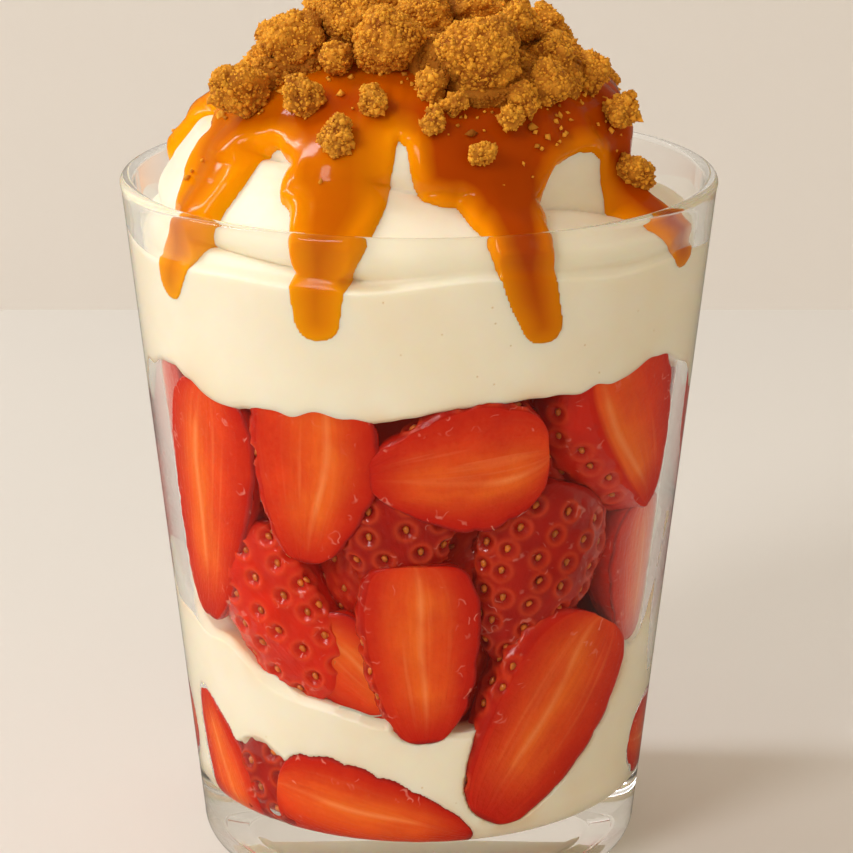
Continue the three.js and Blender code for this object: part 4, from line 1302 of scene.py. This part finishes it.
def cream_finish(name):
    """Whipped cream: soft and pale, with cloudy patches and small air bubbles whose pits are darkened with
    painted shade.
    """
    finish, tree, shader = new_finish(name)
    base = colours().cream
    patches = grouped(tree, mottle_group(), Size=9.0, Detail=3.0, Contrast=0.6)
    specks = grouped(tree, speck_group(), Spacing=2.4, Radius=0.2, Share=0.3)
    shaded = (base[0] * 0.95, base[1] * 0.92, base[2] * 0.84, 1)
    colour = colour_mix(tree, patches, shaded, rgba(base))
    # painted shade: the bubble pits are coloured darker and browner than the cream
    bubble_shade = (base[0] * 0.8, base[1] * 0.66, base[2] * 0.42, 1)
    colour = colour_mix(tree, maths(tree, "MULTIPLY", specks, 0.8), colour, bubble_shade)
    juice = (base[0] * 0.85, base[1] * 0.55, base[2] * 0.34, 1)
    stain = value_at_points(tree, "stain")
    colour = colour_mix(tree, remap(tree, stain, 0.0, 1.0, 0.0, 0.7), colour, juice)
    # painted shade: the covered cream seen in the gaps between berries turns deep red, beyond its juice
    # stain
    colour = colour_mix(tree, remap(tree, stain, 1.0, 2.0), colour, rgba(colours().ripe_skin, 1.2))
    tree.links.new(colour, shader.inputs["Base Color"])
    fine = grouped(tree, mottle_group(), Size=1.6, Detail=4.0, Contrast=1.0)
    height = maths(tree, "SUBTRACT", maths(tree, "MULTIPLY", fine, 0.4), specks)
    bump = add_node(tree, "ShaderNodeBump", {"Height": height, "Distance": 0.00012, "Strength": 0.5})
    tree.links.new(bump.outputs[0], shader.inputs["Normal"])
    set_sockets(shader, {
        "Roughness": 0.42, "Subsurface Weight": 0.55, "Subsurface Radius": (1.0, 0.7, 0.4),
        "Subsurface Scale": 0.003, "Specular IOR Level": 0.35,
    })
    return finish


def strawberry_finish(name):
    """Strawberry flesh on the cut faces, red at their rims and paler along the core, and wet red skin with
    painted shade in its dimples and painted highlights on their lips and in thin winding lines.
    """
    finish, tree, shader = new_finish(name)
    along, across, cut, dimple, lip, ripe, salt = (
        value_at_points(tree, label)
        for label in ("along", "across", "cut", "dimple", "lip", "ripe", "salt"))
    base = colours()

    def times(first, second):
        return maths(tree, "MULTIPLY", first, second)

    def strands(wide, long, low, high, detail):
        """Lengthwise strands that meet at the tip."""
        off = maths(tree, "ADD", times(across, wide), times(salt, 3.7))
        place = add_node(tree, "ShaderNodeCombineXYZ", {0: off, 1: times(along, long), 2: salt})
        inputs = {"Vector": place.outputs[0], "Scale": 1.0, "Detail": detail}
        noise = add_node(tree, "ShaderNodeTexNoise", inputs)
        return remap(tree, noise.outputs["Fac"], low, high)

    wander = times(maths(tree, "SUBTRACT", strands(0.0, 1.7, 0.0, 1.0, 0.0), 0.5), 0.5)
    shift = times(maths(tree, "SUBTRACT", strands(0.0, 0.0, 0.25, 0.75, 0.0), 0.5), 0.6)
    off_core = maths(tree, "ABSOLUTE", maths(tree, "SUBTRACT", across, maths(tree, "ADD", wander, shift)))
    off_middle = maths(tree, "ABSOLUTE", across)
    fibres = strands(15.0, 2.8, 0.25, 0.75, 2.0)
    broken = strands(2.4, 3.0, 0.38, 0.6, 2.0)
    core = times(remap(tree, off_core, 0.0, 0.08, 1.0, 0.0), remap(tree, broken, 0.0, 1.0, 0.3, 1.0))
    halo = times(remap(tree, off_core, 0.02, 0.68, 1.0, 0.0), remap(tree, broken, 0.0, 1.0, 0.5, 1.0))
    rays = times(strands(7.0, 1.1, 0.58, 0.7, 2.0), remap(tree, off_middle, 0.35, 0.8, 1.0, 0.0))
    before_tip = times(remap(tree, along, 0.72, 0.97, 1.0, 0.0), remap(tree, along, 0.02, 0.2, 0.3, 1.0))
    blotches = grouped(tree, mottle_group(), Size=4.5, Detail=4.0, Contrast=0.5)
    grains = grouped(tree, mottle_group(), Size=0.7, Detail=3.0, Contrast=0.8)
    deep = (base.flesh[0] * 0.62, base.flesh[1] * 0.12, base.flesh[2] * 0.4, 1)
    reddened = maths(tree, "ADD", times(ripe, 0.55), times(blotches, 0.45))
    flesh = colour_mix(tree, maths(tree, "SUBTRACT", reddened, 0.12), rgba(base.flesh), deep)
    warm = (base.flesh[0] * 1.08, base.flesh[1] * 3.3, base.flesh[2] * 4.0, 1)
    glow = times(times(halo, before_tip), remap(tree, fibres, 0.0, 1.0, 0.68, 0.95))
    flesh = colour_mix(tree, glow, flesh, warm)
    pale = maths(tree, "MAXIMUM", times(core, 0.6), times(rays, 0.2))
    flesh = colour_mix(tree, times(pale, before_tip), flesh, rgba(base.pale_flesh))
    flesh = colour_mix(tree, times(grains, 0.10), flesh, rgba(base.pale_flesh))
    tip_side = maths(tree, "MAXIMUM", remap(tree, off_middle, 0.4, 0.94), remap(tree, along, 0.72, 0.99))
    flesh = colour_mix(tree, times(tip_side, remap(tree, blotches, 0.0, 1.0, 0.75, 1.0)), flesh, deep)
    rim = maths(tree, "MAXIMUM", remap(tree, off_middle, 0.93, 0.99), remap(tree, along, 0.97, 1.0))
    flesh = colour_mix(tree, rim, flesh, rgba(base.ripe_skin))
    patches = grouped(tree, mottle_group(), Size=5.0, Detail=2.0, Contrast=0.5)
    ripened = maths(tree, "ADD", times(ripe, 0.9), times(patches, 0.3))
    skin = colour_mix(tree, maths(tree, "SUBTRACT", ripened, 0.12), rgba(base.skin), rgba(base.ripe_skin))
    # painted highlight: the swollen lips round the dimples are lightened as if catching the light
    lit = (base.skin[0] * 1.12, base.skin[1] * 4.5, base.skin[2] * 5.0, 1)
    skin = colour_mix(tree, times(lip, 0.35), skin, lit)
    # painted shade: the dimples are coloured darker, as the shade in their hollows
    skin = colour_mix(tree, times(dimple, 0.4), skin, rgba(base.ripe_skin))
    # painted highlights: thin pale winding lines near the cut rims and on the skin stand in for glints on
    # wet flesh
    painted_glint_lines = grouped(tree, squiggle_group(), Size=2.0, Width=0.04, Share=0.34)
    near_rim = maths(tree, "MAXIMUM", remap(tree, off_middle, 0.5, 0.9), remap(tree, along, 0.22, 0.04))
    shown = maths(tree, "MAXIMUM", times(cut, near_rim), maths(tree, "SUBTRACT", 0.5, cut))
    colour = colour_mix(tree, cut, skin, flesh)
    colour = colour_mix(tree, times(times(painted_glint_lines, shown), 0.42), colour, (0.98, 0.50, 0.38, 1))
    tree.links.new(colour, shader.inputs["Base Color"])
    tree.links.new(remap(tree, cut, 0.0, 1.0, 0.16, 0.34), shader.inputs["Roughness"])
    relief = maths(tree, "ADD", times(fibres, 0.6), grains)
    bump = add_node(tree, "ShaderNodeBump", {"Height": relief, "Distance": 0.0002, "Strength": 0.6})
    tree.links.new(bump.outputs[0], shader.inputs["Normal"])
    set_sockets(shader, {
        "Subsurface Weight": 0.3, "Subsurface Radius": (1.0, 0.15, 0.05), "Subsurface Scale": 0.0018,
        "IOR": 1.3, "Specular IOR Level": 0.3, "Coat Roughness": 0.04,
    })
    wet = remap(tree, maths(tree, "SUBTRACT", cut, rim), 0.0, 1.0, 0.4, 0.1)
    tree.links.new(wet, shader.inputs["Coat Weight"])
    return finish


def packed_finish(name):
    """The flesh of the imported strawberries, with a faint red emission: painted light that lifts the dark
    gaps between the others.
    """
    finish = strawberry_finish(name)
    # painted light: a faint red glow, though these berries are no lamp
    glow = {"Emission Color": (0.10, 0.004, 0.001, 1), "Emission Strength": 0.5}
    set_sockets(principled(finish.node_tree), glow)
    return finish


def seed_finish(name):
    """Amber seeds with a thin gloss."""
    finish, tree, shader = new_finish(name)
    base = colours().seed
    patches = grouped(tree, mottle_group(), Size=1.2, Detail=2.0, Contrast=0.5)
    tree.links.new(colour_mix(tree, patches, rgba(base, 0.6), rgba(base, 1.2)), shader.inputs["Base Color"])
    set_sockets(shader, {"Roughness": 0.3, "Coat Weight": 0.4})
    return finish


def caramel_finish(name):
    """Glossy caramel: yellow-orange where it is thin, and brown-orange where it pools and, as painted shade,
    towards the right.
    """
    finish, tree, shader = new_finish(name)
    base = colours()
    patches = grouped(tree, mottle_group(), Size=16.0, Detail=1.0, Contrast=0.45)
    depth = remap(tree, value_at_points(tree, "depth"), 0.2, 4.2)
    pooled_and_shaded = maths(tree, "MULTIPLY", depth, remap(tree, patches, 0, 1, 0.5, 0.95))
    # painted shade: the caramel is made browner towards the right, away from the lamps
    place = add_node(tree, "ShaderNodeTexCoord").outputs["Object"]
    right = add_node(tree, "ShaderNodeSeparateXYZ", {0: place}).outputs["X"]
    pooled_and_shaded = maths(tree, "ADD", pooled_and_shaded, remap(tree, right, -0.025, 0.02, 0.0, 0.42))
    colour = colour_mix(tree, pooled_and_shaded, rgba(base.thin_caramel), rgba(base.deep_caramel))
    tree.links.new(colour, shader.inputs["Base Color"])
    soft = grouped(tree, mottle_group(), Size=3.5, Detail=1.0, Contrast=1.0)
    bump = add_node(tree, "ShaderNodeBump", {"Height": soft, "Distance": 0.00005, "Strength": 0.3})
    tree.links.new(bump.outputs[0], shader.inputs["Normal"])
    set_sockets(shader, {
        "Roughness": 0.1, "Subsurface Weight": 0.45, "Subsurface Radius": (1.0, 0.4, 0.03),
        "Subsurface Scale": 0.0025, "IOR": 1.23, "Specular IOR Level": 0.5,
    })
    return finish


def biscuit_finish(name):
    """Dry golden-brown crumb, each grain a little lighter or darker, and darker still with painted shade in
    the crevices, the gaps between chunks and the bed.
    """
    finish, tree, shader = new_finish(name)
    base = colours()
    tone = value_at_points(tree, "tone")
    patches = grouped(tree, mottle_group(), Size=3.5, Detail=3.0, Contrast=0.6)
    share = maths(tree, "ADD", maths(tree, "MULTIPLY", tone, 0.75), maths(tree, "MULTIPLY", patches, 0.25))
    colour = colour_mix(tree, share, rgba(base.dark_biscuit), rgba(base.biscuit))
    tree.links.new(colour, shader.inputs["Base Color"])
    grain = grouped(tree, mottle_group(), Size=0.35, Detail=3.0, Contrast=0.8)
    bump = add_node(tree, "ShaderNodeBump", {"Height": grain, "Distance": 0.00015, "Strength": 0.7})
    tree.links.new(bump.outputs[0], shader.inputs["Normal"])
    set_sockets(shader, {
        "Roughness": 0.7, "Subsurface Weight": 0.15, "Subsurface Radius": (1.0, 0.45, 0.15),
        "Subsurface Scale": 0.0008, "Specular IOR Level": 0.08,
    })
    return finish


def stage_finish(name, base):
    """A pale matt surface with faint cloudy patches, dim on the camera's side to glossy things. It can be
    seen through from behind, so that views from the back show the dessert."""
    finish, tree, shader = new_finish(name)
    patches = grouped(tree, mottle_group(), Size=90.0, Detail=5.0, Contrast=0.7)
    tree.links.new(colour_mix(tree, patches, rgba(base, 0.975), rgba(base)), shader.inputs["Base Color"])
    set_sockets(shader, {"Roughness": 0.65, "Specular IOR Level": 0.2})
    dim = add_node(tree, "ShaderNodeBsdfDiffuse", {"Color": rgba(base, 0.2)})
    inputs = {0: dim_in_gloss(tree), 1: shader.outputs[0], 2: dim.outputs[0]}
    front = add_node(tree, "ShaderNodeMixShader", inputs)
    behind = add_node(tree, "ShaderNodeNewGeometry").outputs["Backfacing"]
    clear = add_node(tree, "ShaderNodeBsdfTransparent")
    inputs = {0: behind, 1: front.outputs[0], 2: clear.outputs[0]}
    mixed = add_node(tree, "ShaderNodeMixShader", inputs)
    set_surface(tree, mixed)
    return finish


# Operators
class DESSERT_OT_build_stage(bpy.types.Operator):
    """Make the floor, the backdrop, the lights and the camera"""

    bl_idname = "dessert.build_stage"
    bl_label = "Stage"

    floor_depth: FloatProperty(
        name="Floor depth", description="Distance from the tumbler to the backdrop", default=0.301,
        unit="LENGTH")

    def execute(self, context):
        self.build_surfaces(context)
        self.build_lights(context)
        self.build_camera(context)
        return {"FINISHED"}

    def build_surfaces(self, context):
        """A table and a wall behind it."""
        wide, high, near, far = 1.6, 1.8, -1.4, 1.4
        depth = self.floor_depth
        table = [(-wide, near, 0), (wide, near, 0), (wide, far, 0), (-wide, far, 0)]
        wall = [(-wide, depth, 0), (wide, depth, 0), (wide, depth, high), (-wide, depth, high)]
        for name, points, colour in (("table", table, colours().stage), ("wall", wall, colours().wall)):
            mesh = bpy.data.meshes.new(name)
            mesh.from_pydata(points, [], [(0, 1, 2, 3)])
            mesh.materials.append(stage_finish(f"pale_{name}", colour))
            surface = bpy.data.objects.new(name, mesh)
            context.scene.collection.objects.link(surface)

    def build_lights(self, context):
        """A long soft lamp from the upper left, a weaker one in front of it, and pale surroundings."""
        lamps = (
            ("key", (-1.30, 0.25, 1.25), (0.34, 1.1), 20, (0.91, 0.945, 1.0)),
            ("front", (-1.00, -1.15, 1.05), (0.5, 0.9), 12, (0.99, 0.98, 0.98)),
        )
        for name, place, sizes, power, colour in lamps:
            data = bpy.data.lights.new(name, "AREA")
            data.shape = "ELLIPSE"
            data.size, data.size_y = sizes
            data.energy = power
            data.color = colour
            lamp = bpy.data.objects.new(name, data)
            lamp.location = place
            aim = bpy.data.objects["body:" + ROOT].matrix_world.translation
            direction = aim - lamp.location
            lamp.rotation_euler = direction.to_track_quat("-Z", "Y").to_euler()
            context.scene.collection.objects.link(lamp)
        world = bpy.data.worlds.new("studio")
        world.use_nodes = True
        tree = world.node_tree
        strength = remap(tree, dim_in_gloss(tree), 0, 1, 0.6, 0.13)
        background = tree.nodes["Background"]
        background.inputs["Color"].default_value = (1.0, 0.845, 0.64, 1)
        tree.links.new(strength, background.inputs["Strength"])
        context.scene.world = world
        context.scene.view_settings.view_transform = "Standard"

    def build_camera(self, context):
        """The photograph's view."""
        data = bpy.data.cameras.new("camera")
        data.lens = FOCAL_LENGTH
        data.shift_x = (IMAGE_SIZE / 2 - AXIS_PIXEL) / IMAGE_SIZE
        data.clip_start = 0.02
        camera = bpy.data.objects.new("camera", data)
        camera.location = (0, -CAMERA_DISTANCE * MM, CAMERA_HEIGHT * MM)
        camera.rotation_euler = ((90 - CAMERA_TILT) * DEGREE, 0, 0)
        context.scene.collection.objects.link(camera)
        context.scene.camera = camera


class DESSERT_OT_build_tumbler(bpy.types.Operator):
    """Make the clear tapered tumbler"""

    bl_idname = "dessert.build_tumbler"
    bl_label = "Tumbler"

    def execute(self, context):
        add_piece("tumbler", self.shape(), finish_once("clear_glass", glass_finish), ["glass"])
        return {"FINISHED"}

    def arc(self, x, y, radius, start, end, steps):
        angles = np.linspace(start, end, steps + 1) * DEGREE
        return [(x + radius * math.cos(a), y + radius * math.sin(a)) for a in angles]

    def shape(self):
        """The tumbler turned round its axis, from the middle of its foot to the middle of its floor."""
        sizes = tumbler()
        height = sizes.height / MM
        floor = sizes.floor_height / MM
        lip = sizes.wall_at_rim / MM / 2
        floor_corner = floor + FLOOR_CORNER
        below_lip = height - lip - 1
        outer = [(float(outer_radius(z)), z) for z in np.linspace(FOOT_CORNER + 2, below_lip, 30)]
        inner = [(float(inner_radius(z)), z) for z in np.linspace(below_lip, floor_corner + 2, 30)]
        foot_x = float(outer_radius(FOOT_CORNER)) - FOOT_CORNER
        lip_x = float(outer_radius(height)) - lip
        corner_x = float(inner_radius(floor_corner)) - FLOOR_CORNER
        profile = [
            (6, PUNT_HEIGHT), (PUNT_RADIUS - 4, PUNT_HEIGHT),
            *self.arc(PUNT_RADIUS - 3, PUNT_HEIGHT - 1.0, 1.0, 90, 30, 3),
            *self.arc(PUNT_RADIUS + 0.6, 0.6, 0.6, 210, 270, 4),
            *self.arc(foot_x, FOOT_CORNER, FOOT_CORNER, -90, 0, 12),
            *outer,
            *self.arc(lip_x, height - lip, lip, 0, 180, 14),
            *inner,
            *self.arc(corner_x, floor_corner, FLOOR_CORNER, 0, -90, 12),
            (20, floor), (8, floor),
        ]
        degrees = np.arange(sizes.sides) * 360 / sizes.sides
        rings = np.array([polar(degrees, r, z) for r, z in profile])
        return closed_rings((0, 0, PUNT_HEIGHT), rings, (0, 0, floor))


class DESSERT_OT_build_cream(bpy.types.Operator):
    """Make the two layers of whipped cream"""

    bl_idname = "dessert.build_cream"
    bl_label = "Cream"

    def execute(self, context):
        finish = finish_once("whipped_cream", cream_finish)
        add_piece("cream_piped", top_cream_shape(), finish, ["cream_top"])
        add_piece("cream_layer", lower_cream_shape(), finish, ["cream_lower"])
        return {"FINISHED"}


class DESSERT_OT_build_strawberries(bpy.types.Operator):
    """Make the strawberries at the wall and their seeds"""

    bl_idname = "dessert.build_strawberries"
    bl_label = "Strawberries"

    def execute(self, context):
        finish = finish_once("strawberry_flesh", strawberry_finish)
        seeds = []
        for berry in BERRIES:
            detail = WHOLE_DETAIL if berry.whole else HALF_DETAIL
            if "back" in berry.name:
                detail = BACK_DETAIL
            shape, berry_seeds = berry_shapes(berry, *detail)
            add_piece(f"berry_{berry.name}", shape, finish, [f"strawberry_{berry.name}"])
            seeds.append(berry_seeds)
        finish = finish_once("amber_seed", seed_finish)
        add_piece("berry_seeds", Shape.joined(seeds), finish, [])
        return {"FINISHED"}


class DESSERT_OT_build_packed_strawberries(bpy.types.Operator):
    """Make the strawberries packed in the middle"""

    bl_idname = "dessert.build_packed_strawberries"
    bl_label = "Packed strawberries"

    def execute(self, context):
        shapes, seeds = zip(*(berry_shapes(berry, *PACKED_DETAIL) for berry in packed_berries()))
        shape = Shape.joined([core_shape(), *shapes])
        finish = finish_once("packed_flesh_painted_glow", packed_finish)
        add_piece("berry_pack", shape, finish, ["strawberry_core"])
        finish = finish_once("amber_seed", seed_finish)
        add_piece("berry_pack_seeds", Shape.joined(seeds), finish, [])
        return {"FINISHED"}


class DESSERT_OT_build_caramel(bpy.types.Operator):
    """Make the sheet of caramel and its drips"""

    bl_idname = "dessert.build_caramel"
    bl_label = "Caramel"

    def execute(self, context):
        finish = finish_once("glossy_caramel", caramel_finish)
        add_piece("caramel_sauce", caramel_shape(), finish, ["caramel"])
        return {"FINISHED"}


class DESSERT_OT_build_crumble(bpy.types.Operator):
    """Make the heap of biscuit crumble, the chunks beside it and the stray crumbs"""

    bl_idname = "dessert.build_crumble"
    bl_label = "Crumble"

    density: FloatProperty(
        name="Density", description="Grains on each square millimetre", default=5.5)

    def execute(self, context):
        finish = finish_once("crumbly_biscuit", biscuit_finish)
        self.build_heap(finish)
        self.build_loose(finish)
        self.build_strays(finish)
        return {"FINISHED"}

    def build_heap(self, finish):
        rng = np.random.default_rng(7)
        chunks = [*FRONT_CHUNKS, *filler_chunks()]
        spheres = [(polar(angle, out, z), radius) for angle, out, z, radius in chunks]
        shapes, spots, shades = [], [], []
        bed = bed_shape()
        for i, (centre, radius) in enumerate(spheres):
            level = 5 if i in FINE_CHUNKS else 4 if i < len(FRONT_CHUNKS) else 3
            shape = chunk_shape(centre, radius * 0.94, i + 1, level)
            others = spheres[:i] + spheres[i + 1:]
            # painted shade in the gaps next to the other chunks
            shape.values["tone"] *= openness(shape.points, others)
            shapes.append(shape)
            places, normals = surface_spots(shape, self.density, rng)
            clear = outside_chunks(places, others) & self.over_bed(places)
            spots.append((places - GRAIN_DEPTH * normals)[clear])
            shades.append(openness(spots[-1], others))
        quads = bed.faces[0]
        split = Shape(bed.points, [np.vstack([quads[:, :3], quads[:, [0, 2, 3]]])])
        places = surface_spots(split, self.density, rng)[0]
        spots.append(places[outside_chunks(places, spheres) & (places[:, 2] > BED_FOOT)])
        shades.append(openness(spots[-1], spheres))
        add_piece("biscuit_crumble", Shape.joined([bed, *shapes]), finish, ["biscuit_heap"],
                  faceted=True)
        spots, shades = np.concatenate(spots), np.concatenate(shades)
        mixed = rng.permutation(len(spots))
        coarse = ("grains", mixed[:MOST_GRAINS], 1)
        fine = ("sand", mixed[MOST_GRAINS:], SAND_SIZE)
        for name, kept, size in (coarse, fine):
            kept = kept[:MOST_GRAINS]
            grains = grain_shape(spots[kept], rng, size * filling().grain / MM, shades[kept])
            add_piece(f"biscuit_{name}", grains, finish, [])

    def over_bed(self, places):
        """True for places that stand clear of the bed of crumbs."""
        radius = np.hypot(places[:, 0], places[:, 1])
        depth = filling().caramel_thickness / MM + filling().heap_depth / MM
        bed_top = heap_spot(radius, depth)[1]
        degrees = np.arctan2(places[:, 0], -places[:, 1]) / DEGREE
        return (places[:, 2] > bed_top - 1.5) | (radius > round_curve(HEAP_EDGE, degrees))

    def build_loose(self, finish):
        rng = np.random.default_rng(11)
        thickness = filling().caramel_thickness / MM
        for i, (angle, height, radius) in enumerate(LOOSE_CHUNKS):
            far, z = on_cream(np.array(angle), np.array(height), thickness + radius * 0.45, 0.5)
            shape = chunk_shape(polar(angle, float(far), float(z)), radius, 60 + i, 4)
            places, normals = surface_spots(shape, self.density, rng)
            grains = grain_shape(places - GRAIN_DEPTH * normals, rng, filling().grain / MM)
            name = f"biscuit_chunk_{i + 1}"
            add_piece(f"loose_{name}", Shape.joined([shape, grains]), finish, [name])

    def build_strays(self, finish):
        """Small crumbs that lie on the caramel round the heap."""
        rng = np.random.default_rng(13)
        heights, lengths = profile_lengths()
        degrees = rng.uniform(0, 360, 420)
        start = round_curve(HEAP_EDGE, degrees)
        out = start + rng.exponential(3.2, len(degrees))
        height = height_at_radius(out)
        down = np.interp(-height, -heights, lengths)
        depth, ridge = caramel_depth(degrees, down, heights, lengths)
        lying = (depth > 1.5) & (out < 36)
        degrees, height, depth, ridge = (x[lying] for x in (degrees, height, depth, ridge))
        lift = caramel_lift(degrees, height, depth, ridge)
        far, z = on_cream(degrees, height, lift + 0.1, 0.45)
        crumbs = grain_shape(polar(degrees, far, z), rng, CRUMB_SIZE * filling().grain / MM)
        add_piece("biscuit_crumbs", crumbs, finish, [])


class DESSERT_PT_panel(bpy.types.Panel):
    """Sizes, colours and pieces of the dessert"""

    bl_idname = "DESSERT_PT_panel"
    bl_label = "Dessert"
    bl_space_type = "VIEW_3D"
    bl_region_type = "UI"
    bl_category = "Dessert"

    def draw(self, context):
        scene = context.scene
        for group in (scene.dessert_tumbler, scene.dessert_filling, scene.dessert_colours):
            box = self.layout.box()
            for name in group.__annotations__:
                box.prop(group, name)
        for operator in OPERATORS:
            self.layout.operator(operator.bl_idname)


OPERATORS = (
    DESSERT_OT_build_stage,
    DESSERT_OT_build_tumbler,
    DESSERT_OT_build_cream,
    DESSERT_OT_build_strawberries,
    DESSERT_OT_build_packed_strawberries,
    DESSERT_OT_build_caramel,
    DESSERT_OT_build_crumble,
)
CLASSES = (TumblerSizes, FillingSizes, DessertColours, *OPERATORS, DESSERT_PT_panel)


def register():
    for item in CLASSES:
        bpy.utils.register_class(item)
    bpy.types.Scene.dessert_tumbler = PointerProperty(type=TumblerSizes)
    bpy.types.Scene.dessert_filling = PointerProperty(type=FillingSizes)
    bpy.types.Scene.dessert_colours = PointerProperty(type=DessertColours)


def unregister():
    del bpy.types.Scene.dessert_tumbler
    del bpy.types.Scene.dessert_filling
    del bpy.types.Scene.dessert_colours
    for item in reversed(CLASSES):
        bpy.utils.unregister_class(item)


def main():
    register()
    bpy.ops.dessert.build_stage()
    bpy.ops.dessert.build_tumbler()
    bpy.ops.dessert.build_cream()
    bpy.ops.dessert.build_strawberries()
    bpy.ops.dessert.build_packed_strawberries()
    bpy.ops.dessert.build_caramel()
    bpy.ops.dessert.build_crumble()


if __name__ == "__main__":
    main()
